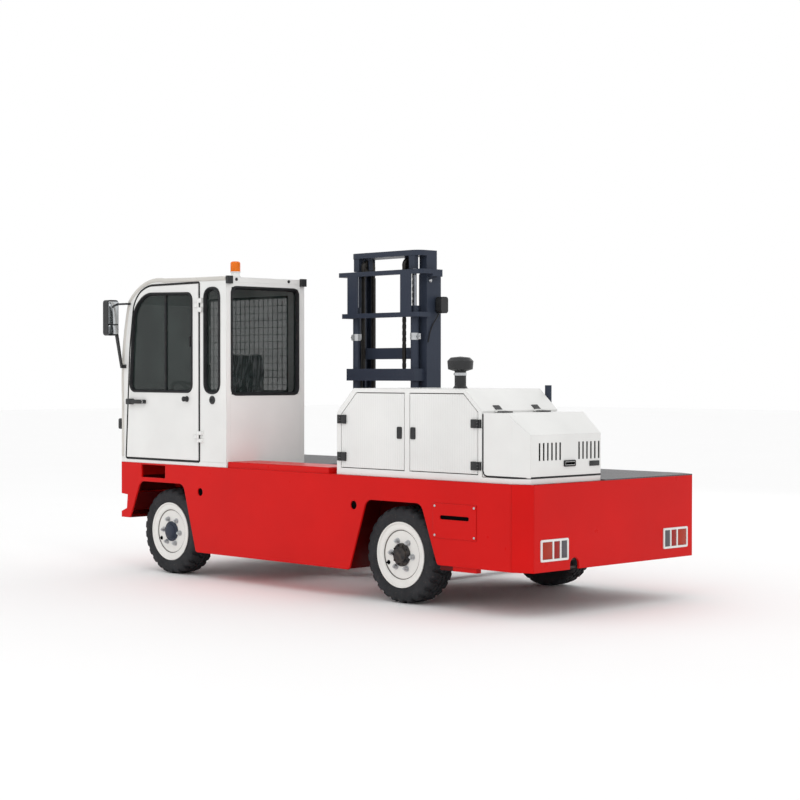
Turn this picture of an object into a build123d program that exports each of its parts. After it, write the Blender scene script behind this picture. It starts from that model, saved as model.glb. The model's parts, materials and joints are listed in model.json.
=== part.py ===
"""Side loader forklift: cab and engine hood on the left, load decks and a reaching mast on the right."""

import os

from build123d import *

os.makedirs("parts", exist_ok=True)

# Every place below is given as u forward from the rear plate, v to the right from the left side plate
# and z up from the floor, in millimetres.

# Wheels
TYRE_R = 350
TYRE_HALF_W = 112
RIM_R = 225
RIM_FLANGE_R = 238
WHEEL_V = 170
STUB_R = 46
KINGPIN_V = WHEEL_V + 142
KINGPIN_R = 20
STEER_ARM = 150

# Layout along the truck: rear hood, engine hood, mast well, cab
HOOD_REAR_U = 427
HOOD_LENGTH = 1451
HOOD_TO_WELL = 22
WELL_LENGTH = 1000
WELL_TO_CAB = 245
CAB_LENGTH = 1385
HOOD_FRONT_U = HOOD_REAR_U + HOOD_LENGTH
WELL_REAR_U = HOOD_FRONT_U + HOOD_TO_WELL
WELL_FRONT_U = WELL_REAR_U + WELL_LENGTH
CAB_REAR_U = WELL_FRONT_U + WELL_TO_CAB
NOSE_U = CAB_REAR_U + CAB_LENGTH
REAR_AXLE_U = HOOD_REAR_U + 830
FRONT_AXLE_U = NOSE_U - 586
MAST_U = (WELL_REAR_U + WELL_FRONT_U) / 2

# Layout across the truck
TRUCK_WIDTH = 1912
LEFT_BEAM_V = 340
HOOD_LEFT_V = 20
HOOD_RIGHT_V = 815
CAB_LEFT_V = 4
CAB_RIGHT_V = 836
CHANNEL_V = TRUCK_WIDTH - 822
CORNER_U = 145
CORNER_V = 67

# Heights
AXLE_Z = TYRE_R
PLATE_TOP = 2 * TYRE_R + 208
SKIRT_Z = AXLE_Z - 139
REAR_SKIRT_Z = AXLE_Z - 35
BASE_TOP = PLATE_TOP + 37
CAB_HEIGHT = 1477
HOOD_HEIGHT = 602
CAB_ROOF_Z = BASE_TOP + CAB_HEIGHT
HOOD_TOP = BASE_TOP + HOOD_HEIGHT
INNER_TOP = 2628
OUTER_TOP = INNER_TOP - 191
MAST_FOOT_Z = 120

# Plates and small clearances
PLATE = 16
DECK_PLATE = 8
CAB_WALL = 40
HOOD_WALL = 25
LID_WALL = 18
GLASS = 6
PANE_SET = 14
DOOR_GAP = 8
HOOD_GAP = 6
PIN_FIT = 0.1
HAIR = 0.3

# What reaches furthest out
LAMP_PROUD = 8
MIRROR_LEAD = 70
MIRROR_REACH = 140
FORK_TIP_V = CHANNEL_V + 1310

# The origin is on the floor below the middle of everything
REAR_X = (LAMP_PROUD - NOSE_U - MIRROR_LEAD) / 2
LEFT_Y = (FORK_TIP_V - MIRROR_REACH) / 2


def block(u, v, z, mode=Mode.ADD):
    """A box between the low and high value of u, v and z."""
    with Locations((REAR_X + sum(u) / 2, LEFT_Y - sum(v) / 2, sum(z) / 2)):
        Box(u[1] - u[0], v[1] - v[0], z[1] - z[0], mode=mode)


def outline_face(plane, points, grow=0):
    """A face on a plane from points, each with an optional corner radius, grown all round."""
    with BuildSketch(plane) as outline:
        with BuildLine():
            Polyline(*[(first, second) for first, second, *_ in points], close=True)
        make_face()
        for first, second, *corner in points:
            if corner:
                fillet(outline.vertices().sort_by_distance((first, second, 0))[0], corner[0])
        if grow:
            offset(amount=grow, kind=Kind.INTERSECTION)
    return outline.sketch


def side_shape(points, v, mode=Mode.ADD, grow=0):
    """An outline of (u, z) or (u, z, corner radius) points, run from the low to the high value of v."""
    across = Plane.XZ.offset(v[0] - LEFT_Y)
    face = outline_face(across, [(REAR_X + u, *rest) for u, *rest in points], grow)
    extrude(face, amount=v[1] - v[0], mode=mode)


def top_shape(points, z, mode=Mode.ADD):
    """An outline of (u, v) or (u, v, corner radius) points, run from the low to the high value of z."""
    level = Plane.XY.offset(z[0])
    face = outline_face(level, [(REAR_X + u, LEFT_Y - v, *rest) for u, v, *rest in points])
    extrude(face, amount=z[1] - z[0], mode=mode)


def round_along_v(u, z, radius, v, mode=Mode.ADD):
    with Locations(Location((REAR_X + u, LEFT_Y - sum(v) / 2, z), (90, 0, 0))):
        Cylinder(radius, v[1] - v[0], mode=mode)


def round_along_u(v, z, radius, u, mode=Mode.ADD):
    with Locations(Location((REAR_X + sum(u) / 2, LEFT_Y - v, z), (0, 90, 0))):
        Cylinder(radius, u[1] - u[0], mode=mode)


def post(u, v, radius, z, mode=Mode.ADD):
    with Locations((REAR_X + u, LEFT_Y - v, sum(z) / 2)):
        Cylinder(radius, z[1] - z[0], mode=mode)


def around(middle, half):
    """The span of a half width on both sides of a middle."""
    return (middle - half, middle + half)


def from_mast(side, low, high):
    """The span between two distances from the mast's middle, on the side that is -1 or 1."""
    return sorted((MAST_U + side * low, MAST_U + side * high))


def mast_block(half, v, z, mode=Mode.ADD):
    """The same box on both sides of the mast's middle, between two distances from it."""
    for side in (-1, 1):
        block(from_mast(side, *half), v, z, mode)


def knuckles(span):
    """A hinge's length cut into a fixed, a moving and a fixed knuckle, a hair apart."""
    third = (span[1] - span[0]) / 3
    moving = (span[0] + third, span[1] - third)
    return (span[0], moving[0] - HAIR), moving, (moving[1] + HAIR, span[1])


def keep(piece, name):
    piece.part.label = name
    export_step(piece.part, f"parts/{name}.step")


# Side plates with their wheel arches
ARCH_ROUND = 70
ARCH_FOOT_ROUND = 28
FRONT_ARCH_TOP = 2 * AXLE_Z + 55
REAR_ARCH_TOP = 2 * AXLE_Z + 37
FRONT_LIP = (NOSE_U - 118, AXLE_Z + 91)
BUMPER_TOP = AXLE_Z + 291
BUMPER_LOW = AXLE_Z + 140
FOLD = [(NOSE_U - 85, BUMPER_TOP - 7), (NOSE_U - 73, BUMPER_LOW + 28)]
FRONT_ARCH = [
    FRONT_LIP,
    (FRONT_AXLE_U + TYRE_R - 26, FRONT_ARCH_TOP, ARCH_ROUND),
    (FRONT_AXLE_U - TYRE_R + 96, FRONT_ARCH_TOP, ARCH_ROUND),
    (FRONT_AXLE_U - TYRE_R - 67, SKIRT_Z, ARCH_FOOT_ROUND),
]
REAR_ARCH = [
    (REAR_AXLE_U + TYRE_R + 120, SKIRT_Z, ARCH_FOOT_ROUND),
    (REAR_AXLE_U + TYRE_R - 62, REAR_ARCH_TOP, ARCH_ROUND),
    (REAR_AXLE_U - TYRE_R + 83, REAR_ARCH_TOP, ARCH_ROUND),
    (REAR_AXLE_U - TYRE_R - 75, REAR_SKIRT_Z, ARCH_FOOT_ROUND),
]
FRONT_NOTCH = [(NOSE_U, BUMPER_TOP), *FOLD, (NOSE_U, BUMPER_LOW), (NOSE_U, FRONT_LIP[1])]
STEP_U = (FRONT_AXLE_U - 14, FRONT_AXLE_U + 306)
STEP_Z = (PLATE_TOP - 118, PLATE_TOP - 13)
FRAME_HOLES = [(FRONT_AXLE_U - 473, AXLE_Z + 350), (REAR_AXLE_U + 422, AXLE_Z + 340)]
FRAME_HOLE_R = 32
TANK_COVER_U = (HOOD_REAR_U + 31, HOOD_REAR_U + 444)
TANK_COVER_Z = (AXLE_Z + 155, AXLE_Z + 400)
TANK_SLOT = (275, 28)
TANK_SLOT_Z = AXLE_Z + 302
COVER_PROUD = 4

with BuildPart() as left_side_plate:
    side_shape(
        [(CORNER_U, PLATE_TOP), (NOSE_U, PLATE_TOP)]
        + FRONT_NOTCH
        + FRONT_ARCH
        + REAR_ARCH
        + [(CORNER_U, REAR_SKIRT_Z)],
        (0, PLATE),
    )
    block(STEP_U, (0, PLATE), STEP_Z, Mode.SUBTRACT)
    for hole_u, hole_z in FRAME_HOLES:
        round_along_v(hole_u, hole_z, FRAME_HOLE_R, (0, PLATE), Mode.SUBTRACT)
    block(TANK_COVER_U, (-COVER_PROUD, 0), TANK_COVER_Z)
    with BuildSketch(Plane.XZ.offset(-COVER_PROUD - LEFT_Y)):
        with Locations((REAR_X + sum(TANK_COVER_U) / 2, TANK_SLOT_Z)):
            SlotOverall(*TANK_SLOT)
    extrude(amount=COVER_PROUD + PLATE, mode=Mode.SUBTRACT)
keep(left_side_plate, "left_side_plate")

with BuildPart() as right_side_plates:
    right_plate_v = (TRUCK_WIDTH - PLATE, TRUCK_WIDTH)
    side_shape(
        [(CORNER_U, PLATE_TOP), (WELL_REAR_U, PLATE_TOP), (WELL_REAR_U, SKIRT_Z)]
        + REAR_ARCH
        + [(CORNER_U, REAR_SKIRT_Z)],
        right_plate_v,
    )
    side_shape(
        [(WELL_FRONT_U, PLATE_TOP), (NOSE_U, PLATE_TOP)]
        + FRONT_NOTCH
        + FRONT_ARCH
        + [(WELL_FRONT_U, SKIRT_Z)],
        right_plate_v,
    )
keep(right_side_plates, "right_side_plates")

# Rear plate, bent round both corners, with the tow notch in its lower edge
TOW_V = 492
TOW_HALF = 48
TOW_TOP = AXLE_Z + 45

with BuildPart() as rear_plate:
    top_shape(
        [
            (CORNER_U, 0),
            (0, CORNER_V),
            (0, TRUCK_WIDTH - CORNER_V),
            (CORNER_U, TRUCK_WIDTH),
            (CORNER_U, TRUCK_WIDTH - PLATE),
            (PLATE, TRUCK_WIDTH - CORNER_V - PLATE / 2),
            (PLATE, CORNER_V + PLATE / 2),
            (CORNER_U, PLATE),
        ],
        (REAR_SKIRT_Z, PLATE_TOP),
    )
    block((0, PLATE), around(TOW_V, TOW_HALF), (REAR_SKIRT_Z, TOW_TOP - TOW_HALF), Mode.SUBTRACT)
    round_along_u(TOW_V, TOW_TOP - TOW_HALF, TOW_HALF, (0, PLATE), Mode.SUBTRACT)
keep(rear_plate, "rear_plate")

# Front plate, folded in at bumper height
FRONT_PLATE_REAR_U = NOSE_U - PLATE
FOLD_DROP = 12

with BuildPart() as front_plate:
    side_shape(
        [(FRONT_PLATE_REAR_U, PLATE_TOP), (NOSE_U, PLATE_TOP)]
        + FRONT_NOTCH
        + [
            FRONT_LIP,
            (FRONT_LIP[0], FRONT_LIP[1] + PLATE),
            (FRONT_PLATE_REAR_U, FRONT_LIP[1] + PLATE),
            (FRONT_PLATE_REAR_U, BUMPER_LOW - FOLD_DROP),
            (FOLD[1][0] - PLATE, FOLD[1][1] - FOLD_DROP),
            (FOLD[0][0] - PLATE, FOLD[0][1] + FOLD_DROP),
            (FRONT_PLATE_REAR_U, BUMPER_TOP + FOLD_DROP),
        ],
        (PLATE, TRUCK_WIDTH - PLATE),
    )
keep(front_plate, "front_plate")

# Box beam that joins the two halves on the left, with the raised red cover plate on top
BEAM_TO_TYRE = (138, 89)
BEAM_U = (REAR_AXLE_U + TYRE_R + BEAM_TO_TYRE[0], FRONT_AXLE_U - TYRE_R - BEAM_TO_TYRE[1])
BEAM_Z = (SKIRT_Z + 4, PLATE_TOP)
RAISED_U = (WELL_REAR_U + 64, CAB_REAR_U - 8)
RAISED_V = (PLATE, LEFT_BEAM_V)
RAISED_Z = PLATE_TOP + 47

with BuildPart() as left_box_beam:
    block(BEAM_U, (PLATE, LEFT_BEAM_V), BEAM_Z)
    block(RAISED_U, RAISED_V, (PLATE_TOP, RAISED_Z))
    round_along_v(*FRAME_HOLES[0], FRAME_HOLE_R, (PLATE, LEFT_BEAM_V), Mode.SUBTRACT)
keep(left_box_beam, "left_box_beam")

# Inner frames: long beams and the walls of the mast well
REAR_BEAMS_V = [(LEFT_BEAM_V, LEFT_BEAM_V + 40), (TRUCK_WIDTH - 500, TRUCK_WIDTH - 420)]
REAR_BEAM_Z = (AXLE_Z + 130, PLATE_TOP)
FRONT_BEAMS_V = [(560, 640), (TRUCK_WIDTH - 640, TRUCK_WIDTH - 560)]
FRONT_BEAM_Z = (AXLE_Z + 320, PLATE_TOP)
AXLE_TABLE_Z = (AXLE_Z + 320, AXLE_Z + 380)
AXLE_TABLE_HALF = 110

with BuildPart() as rear_frame:
    for beam_v in REAR_BEAMS_V:
        block((PLATE, WELL_REAR_U - PLATE), beam_v, REAR_BEAM_Z)
    block((WELL_REAR_U - PLATE, WELL_REAR_U), (LEFT_BEAM_V, TRUCK_WIDTH - PLATE), BEAM_Z)
keep(rear_frame, "rear_frame")

with BuildPart() as front_frame:
    for beam_v in FRONT_BEAMS_V:
        block((WELL_FRONT_U + PLATE, FRONT_PLATE_REAR_U), beam_v, FRONT_BEAM_Z)
    block((WELL_FRONT_U, WELL_FRONT_U + PLATE), (LEFT_BEAM_V, TRUCK_WIDTH - PLATE), BEAM_Z)
    table_v = (FRONT_BEAMS_V[0][1], FRONT_BEAMS_V[1][0])
    block(around(FRONT_AXLE_U, AXLE_TABLE_HALF), table_v, AXLE_TABLE_Z)
keep(front_frame, "front_frame")

# Channel rails on the well's walls that carry the mast carriage
RAIL_Z = PLATE_TOP - 458
RAIL_HALF = 80
RAIL_DEPTH = 55
RAIL_WALL = 10

with BuildPart() as reach_rails:
    rail_v = (LEFT_BEAM_V, TRUCK_WIDTH - PLATE)
    for wall_u, turn in ((WELL_REAR_U, 1), (WELL_FRONT_U, -1)):
        block(sorted((wall_u, wall_u + turn * RAIL_DEPTH)), rail_v, around(RAIL_Z, RAIL_HALF))
        groove_u = sorted((wall_u + turn * RAIL_WALL, wall_u + turn * RAIL_DEPTH))
        block(groove_u, rail_v, around(RAIL_Z, RAIL_HALF - RAIL_WALL), Mode.SUBTRACT)
keep(reach_rails, "reach_rails")

# Chequer decks
DECK_Z = (PLATE_TOP, PLATE_TOP + DECK_PLATE)
DECK_GAP = 5
HOOD_DECK_V = HOOD_RIGHT_V + DECK_GAP
CAB_DECK_V = CAB_RIGHT_V + 18

with BuildPart() as load_decks:
    top_shape(
        [
            (0, HOOD_DECK_V),
            (WELL_REAR_U, HOOD_DECK_V),
            (WELL_REAR_U, TRUCK_WIDTH),
            (CORNER_U, TRUCK_WIDTH),
            (0, TRUCK_WIDTH - CORNER_V),
        ],
        DECK_Z,
    )
    top_shape(
        [
            (WELL_FRONT_U, LEFT_BEAM_V),
            (CAB_REAR_U - DECK_GAP, LEFT_BEAM_V),
            (CAB_REAR_U - DECK_GAP, CAB_DECK_V),
            (NOSE_U, CAB_DECK_V),
            (NOSE_U, TRUCK_WIDTH),
            (WELL_FRONT_U, TRUCK_WIDTH),
        ],
        DECK_Z,
    )
keep(load_decks, "load_decks")

# Hydraulic tank behind its cover, and the tow clevis behind the notch
TANK_U = (HOOD_REAR_U + 43, HOOD_REAR_U + 388)
TANK_V = (PLATE, LEFT_BEAM_V - 50)
TANK_Z = (AXLE_Z - 25, AXLE_Z + 370)
TANK_LIP = 44
TANK_ROUND = 40

with BuildPart() as hydraulic_tank:
    block(TANK_U, TANK_V, TANK_Z)
    fillet(hydraulic_tank.edges().filter_by(Axis.Y).group_by(Axis.Z)[-1], TANK_ROUND)
    block(TANK_U, (PLATE, PLATE + TANK_LIP), (TANK_Z[0] - TANK_LIP, TANK_Z[0]))
keep(hydraulic_tank, "hydraulic_tank")

CLEVIS_PLATES_Z = [(AXLE_Z - 32, AXLE_Z - 14), (AXLE_Z + 24, AXLE_Z + 42)]
CLEVIS_PIN_R = 16
CLEVIS_EYE_U = 62
CLEVIS_HALF = 42
CLEVIS_GAP = 4
CLEVIS_BACK_U = (120, 150)
CLEVIS_ARM = 60

with BuildPart() as tow_clevis:
    clevis_v = around(TOW_V, CLEVIS_HALF)
    clevis_z = (CLEVIS_PLATES_Z[0][0], CLEVIS_PLATES_Z[1][1])
    clevis_arm_z = (REAR_BEAM_Z[0], REAR_BEAM_Z[0] + CLEVIS_ARM)
    for plate_z in CLEVIS_PLATES_Z:
        block((PLATE + CLEVIS_GAP, CLEVIS_BACK_U[0]), clevis_v, plate_z)
    block(CLEVIS_BACK_U, clevis_v, (clevis_z[0], clevis_arm_z[1]))
    block(CLEVIS_BACK_U, (REAR_BEAMS_V[0][1], TOW_V), clevis_arm_z)
    post(CLEVIS_EYE_U, TOW_V, CLEVIS_PIN_R, clevis_z, Mode.SUBTRACT)
keep(tow_clevis, "tow_clevis")

# Tail lamps: a frame with three windows, the widest outermost, and a lens in each
LAMP_W = 290
LAMP_INSET = 131
LAMP_Z = (AXLE_Z + 35, AXLE_Z + 185)
LAMP_BORDER = 16
LAMP_ROUND = 12
LENS_PROUD = 5
OUTERMOST_FIRST = (0.46, 0.27, 0.27)
# lamp's v low, shares of its windows
LAMPS = [
    (LAMP_INSET, OUTERMOST_FIRST),
    (TRUCK_WIDTH - LAMP_INSET - LAMP_W, OUTERMOST_FIRST[::-1]),
]


def lamp_windows(low_v, shares, proud, mode=Mode.ADD):
    """The windows between the borders of a lamp, by their shares of its width."""
    window_z = (LAMP_Z[0] + LAMP_BORDER, LAMP_Z[1] - LAMP_BORDER)
    clear = LAMP_W - LAMP_BORDER * (len(shares) + 1)
    for share in shares:
        low_v += LAMP_BORDER
        block((-proud, 0), (low_v, low_v + share * clear), window_z, mode)
        low_v += share * clear


with BuildPart() as tail_lamp_frames:
    for low_v, shares in LAMPS:
        block((-LAMP_PROUD, 0), (low_v, low_v + LAMP_W), LAMP_Z)
    fillet(tail_lamp_frames.edges().filter_by(Axis.X), LAMP_ROUND)
    for low_v, shares in LAMPS:
        lamp_windows(low_v, shares, LAMP_PROUD, Mode.SUBTRACT)
keep(tail_lamp_frames, "tail_lamp_frames")

with BuildPart() as tail_lamp_lenses:
    for low_v, shares in LAMPS:
        lamp_windows(low_v, shares, LENS_PROUD)
keep(tail_lamp_lenses, "tail_lamp_lenses")

# Cab: side frames of the full profile, with roof, front and rear walls between them
CAB_INNER_V = (CAB_LEFT_V + CAB_WALL, CAB_RIGHT_V - CAB_WALL)
LEFT_WALL_V = (CAB_LEFT_V, CAB_INNER_V[0])
RIGHT_WALL_V = (CAB_INNER_V[1], CAB_RIGHT_V)
ROOF_BEND = (NOSE_U - 580, CAB_ROOF_Z + 11)
ROOF_ARC = (NOSE_U - 240, CAB_ROOF_Z - 44)
BROW = (NOSE_U - 96, CAB_ROOF_Z - 156)
SCREEN_ARC = (NOSE_U - 38, CAB_ROOF_Z - 399)
SCREEN_FOOT = (NOSE_U - 4, BASE_TOP + 485)
DOOR_REAR_U = CAB_REAR_U + 348
DOOR_FOOT_Z = BASE_TOP + 8
DOOR = [
    (DOOR_REAR_U, DOOR_FOOT_Z),
    (NOSE_U - 74, DOOR_FOOT_Z),
    (NOSE_U - 128, CAB_ROOF_Z - 552, 1200),
    (NOSE_U - 185, CAB_ROOF_Z - 172, 220),
    (NOSE_U - 280, CAB_ROOF_Z - 82, 220),
    (NOSE_U - 390, CAB_ROOF_Z - 46, 280),
    (DOOR_REAR_U, CAB_ROOF_Z - 44),
]
WINDOW_ROUND = 60
DOOR_WINDOW = [
    (CAB_REAR_U + 428, BASE_TOP + 560, WINDOW_ROUND),
    (NOSE_U - 121, BASE_TOP + 562, WINDOW_ROUND),
    (NOSE_U - 170, CAB_ROOF_Z - 234, 110),
    (NOSE_U - 332, CAB_ROOF_Z - 102, 110),
    (CAB_REAR_U + 428, CAB_ROOF_Z - 117, WINDOW_ROUND),
]
DOOR_V = (0, 36)
QUARTER_U = (CAB_REAR_U + 83, CAB_REAR_U + 273)
QUARTER_Z = (BASE_TOP + 555, CAB_ROOF_Z - 85)
QUARTER_ROUND = 80
DOOR_HINGE_U = CAB_REAR_U + 340
HINGE_Z = [(BASE_TOP + 155, BASE_TOP + 245), (CAB_ROOF_Z - 272, CAB_ROOF_Z - 162)]
HINGE_V = -11
HINGE_R = 9
HINGE_LEAF = 50
LEAF_THICK = 4


def cab_profile(v, inset=0, mode=Mode.ADD):
    """The cab seen from the side, from v low to v high, drawn in by the inset."""
    with BuildSketch(Plane.XZ.offset(v[0] - LEFT_Y)) as outline:
        with BuildLine():
            Polyline(
                (REAR_X + SCREEN_FOOT[0], SCREEN_FOOT[1]),
                (REAR_X + NOSE_U, BASE_TOP),
                (REAR_X + CAB_REAR_U, BASE_TOP),
                (REAR_X + CAB_REAR_U, CAB_ROOF_Z),
                (REAR_X + ROOF_BEND[0], ROOF_BEND[1]),
            )
            ThreePointArc(*[(REAR_X + u, z) for u, z in (ROOF_BEND, ROOF_ARC, BROW)])
            ThreePointArc(*[(REAR_X + u, z) for u, z in (BROW, SCREEN_ARC, SCREEN_FOOT)])
        make_face()
        if inset:
            offset(amount=-inset, kind=Kind.INTERSECTION)
    extrude(outline.sketch, amount=v[1] - v[0], mode=mode)


def quarter_window(v, mode=Mode.ADD):
    with BuildSketch(Plane.XZ.offset(v[0] - LEFT_Y)) as quarter:
        with Locations((REAR_X + sum(QUARTER_U) / 2, sum(QUARTER_Z) / 2)):
            RectangleRounded(QUARTER_U[1] - QUARTER_U[0], QUARTER_Z[1] - QUARTER_Z[0], QUARTER_ROUND)
    extrude(quarter.sketch, amount=v[1] - v[0], mode=mode)


with BuildPart() as cab_base:
    block((CAB_REAR_U, NOSE_U), (CAB_LEFT_V, CAB_RIGHT_V), (PLATE_TOP, BASE_TOP))
keep(cab_base, "cab_base")

with BuildPart() as cab_left_frame:
    cab_profile(LEFT_WALL_V)
    side_shape(DOOR, LEFT_WALL_V, Mode.SUBTRACT, DOOR_GAP)
    quarter_window(LEFT_WALL_V, Mode.SUBTRACT)
    for hinge_z in HINGE_Z:
        low, _, high = knuckles(hinge_z)
        for knuckle_z in (low, high):
            post(DOOR_HINGE_U, HINGE_V, HINGE_R, knuckle_z)
            block((DOOR_HINGE_U - HINGE_LEAF, DOOR_HINGE_U), (HINGE_V - LEAF_THICK, CAB_LEFT_V), knuckle_z)
keep(cab_left_frame, "cab_left_frame")

RIGHT_WINDOW_U = (CAB_REAR_U + 155, NOSE_U - 160)
RIGHT_WINDOW_Z = (BASE_TOP + 555, CAB_ROOF_Z - 122)

with BuildPart() as cab_right_frame:
    cab_profile(RIGHT_WALL_V)
    block(RIGHT_WINDOW_U, RIGHT_WALL_V, RIGHT_WINDOW_Z, Mode.SUBTRACT)
keep(cab_right_frame, "cab_right_frame")

REAR_WINDOW_V = (60, CAB_RIGHT_V - 66)
REAR_WINDOW_Z = (BASE_TOP + 542, CAB_ROOF_Z - 80)
REAR_WALL_U = (CAB_REAR_U, CAB_REAR_U + CAB_WALL)
REAR_WALL_TOP = CAB_ROOF_Z - CAB_WALL - 1

with BuildPart() as cab_rear_wall:
    block(REAR_WALL_U, CAB_INNER_V, (BASE_TOP, REAR_WALL_TOP))
    block(REAR_WALL_U, REAR_WINDOW_V, REAR_WINDOW_Z, Mode.SUBTRACT)
keep(cab_rear_wall, "cab_rear_wall")

SCREEN_V = (90, CAB_RIGHT_V - 86)
SCREEN_Z = (BASE_TOP + 395, CAB_ROOF_Z - 182)
CAB_NOSE_U = (NOSE_U - 230, NOSE_U)
NOSE_FOOT_U = (NOSE_U - 60, NOSE_U)
CAB_FLOOR_Z = (BASE_TOP, BASE_TOP + CAB_WALL)

with BuildPart() as cab_front_wall:
    cab_profile(CAB_INNER_V)
    cab_profile(CAB_INNER_V, CAB_WALL, Mode.SUBTRACT)
    block(CAB_NOSE_U, CAB_INNER_V, (BASE_TOP, BROW[1]), Mode.INTERSECT)
    block(CAB_NOSE_U, CAB_INNER_V, CAB_FLOOR_Z, Mode.SUBTRACT)
    block(NOSE_FOOT_U, CAB_INNER_V, CAB_FLOOR_Z)
    block(CAB_NOSE_U, SCREEN_V, SCREEN_Z, Mode.SUBTRACT)
keep(cab_front_wall, "cab_front_wall")

with BuildPart() as cab_roof:
    cab_profile(CAB_INNER_V)
    cab_profile(CAB_INNER_V, CAB_WALL, Mode.SUBTRACT)
    block((CAB_REAR_U, NOSE_U), CAB_INNER_V, (BROW[1], ROOF_BEND[1]), Mode.INTERSECT)
    block(REAR_WALL_U, CAB_INNER_V, (BROW[1], REAR_WALL_TOP), Mode.SUBTRACT)
keep(cab_roof, "cab_roof")

with BuildPart() as cab_glass:
    pane = (PANE_SET, PANE_SET + GLASS)
    block((CAB_REAR_U + pane[0], CAB_REAR_U + pane[1]), REAR_WINDOW_V, REAR_WINDOW_Z)
    block(RIGHT_WINDOW_U, (RIGHT_WALL_V[0] + pane[0], RIGHT_WALL_V[0] + pane[1]), RIGHT_WINDOW_Z)
    quarter_window((CAB_LEFT_V + pane[0], CAB_LEFT_V + pane[1]))
keep(cab_glass, "cab_glass")

with BuildPart() as windscreen:
    cab_profile(SCREEN_V, PANE_SET)
    cab_profile(SCREEN_V, PANE_SET + GLASS, Mode.SUBTRACT)
    block(CAB_NOSE_U, SCREEN_V, SCREEN_Z, Mode.INTERSECT)
keep(windscreen, "windscreen")

# Wire guard over the load side window
GUARD_BORDER = 18
WIRE = 5
WIRE_PITCH = 60

with BuildPart() as load_guard:
    guard_u = (RIGHT_WINDOW_U[0] - GUARD_BORDER, RIGHT_WINDOW_U[1] + GUARD_BORDER)
    guard_z = (RIGHT_WINDOW_Z[0] - GUARD_BORDER, RIGHT_WINDOW_Z[1] + GUARD_BORDER)
    near_v = (CAB_RIGHT_V, CAB_RIGHT_V + WIRE)
    far_v = (CAB_RIGHT_V + WIRE, CAB_RIGHT_V + 2 * WIRE)
    block(guard_u, (near_v[0], far_v[1]), guard_z)
    block(RIGHT_WINDOW_U, (near_v[0], far_v[1]), RIGHT_WINDOW_Z, Mode.SUBTRACT)
    wire_u = RIGHT_WINDOW_U[0] + WIRE_PITCH
    while wire_u < RIGHT_WINDOW_U[1] - WIRE:
        block((wire_u, wire_u + WIRE), near_v, RIGHT_WINDOW_Z)
        wire_u += WIRE_PITCH
    wire_z = RIGHT_WINDOW_Z[0] + WIRE_PITCH
    while wire_z < RIGHT_WINDOW_Z[1] - WIRE:
        block(RIGHT_WINDOW_U, far_v, (wire_z, wire_z + WIRE))
        wire_z += WIRE_PITCH
keep(load_guard, "load_guard")

# Cab door: panel with its window, two hinge knuckles and a lever handle
HANDLE_U = (NOSE_U - 330, NOSE_U - 130)
HANDLE_Z = BASE_TOP + 475
HANDLE_PROUD = 40
HANDLE_HALF = 13

with BuildPart() as cab_door:
    side_shape(DOOR, DOOR_V)
    side_shape(DOOR_WINDOW, DOOR_V, Mode.SUBTRACT)
    for hinge_z in HINGE_Z:
        _, leaf_z, _ = knuckles(hinge_z)
        post(DOOR_HINGE_U, HINGE_V, HINGE_R, leaf_z)
        block((DOOR_HINGE_U, DOOR_HINGE_U + HINGE_LEAF), (HINGE_V - LEAF_THICK, DOOR_V[0]), leaf_z)
    block(HANDLE_U, (-HANDLE_PROUD, -HANDLE_PROUD + HANDLE_HALF), around(HANDLE_Z, HANDLE_HALF))
    for foot_u in HANDLE_U:
        block(around(foot_u, HANDLE_HALF), (-HANDLE_PROUD, 0), around(HANDLE_Z, HANDLE_HALF))
keep(cab_door, "cab_door")

with BuildPart() as door_glass:
    side_shape(DOOR_WINDOW, (PANE_SET, PANE_SET + GLASS))
keep(door_glass, "door_glass")

# Seat and steering console
SEAT_V = (190, 650)
SEAT_BOX_V = (250, 590)
SEAT_BOX_U = (CAB_REAR_U + 335, CAB_REAR_U + 695)
SEAT_PAN_U = (CAB_REAR_U + 275, CAB_REAR_U + 755)
SEAT_PAN_Z = (BASE_TOP + 285, BASE_TOP + 405)
SEAT_BACK_FOOT_U = (CAB_REAR_U + 295, CAB_REAR_U + 415)
SEAT_BACK_TOP_U = (CAB_REAR_U + 250, CAB_REAR_U + 350)
SEAT_BACK_TOP = BASE_TOP + 875
SEAT_ROUND = 35

with BuildPart() as seat:
    block(SEAT_BOX_U, SEAT_BOX_V, (BASE_TOP, SEAT_PAN_Z[0]))
    block(SEAT_PAN_U, SEAT_V, SEAT_PAN_Z)
    side_shape(
        [
            (SEAT_BACK_FOOT_U[0], SEAT_PAN_Z[1]),
            (SEAT_BACK_FOOT_U[1], SEAT_PAN_Z[1]),
            (SEAT_BACK_TOP_U[1], SEAT_BACK_TOP, SEAT_ROUND),
            (SEAT_BACK_TOP_U[0], SEAT_BACK_TOP, SEAT_ROUND),
        ],
        SEAT_V,
    )
keep(seat, "seat")

CONSOLE_V = (220, 620)
CONSOLE = [
    (NOSE_U - 350, BASE_TOP),
    (NOSE_U - 90, BASE_TOP),
    (NOSE_U - 90, BASE_TOP + 295),
    (NOSE_U - 290, BASE_TOP + 415),
    (NOSE_U - 350, BASE_TOP + 355),
]
COLUMN_FOOT = (NOSE_U - 320, BASE_TOP + 380)
COLUMN_LEAN = (-0.5, 0, 0.866)
COLUMN_R = 28
COLUMN_LENGTH = 190
STEERING_R = 172
STEERING_RIM_R = 13
STEERING_HUB_R = 40
SPOKE_W = 34
SPOKE_THICK = 14

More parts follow.
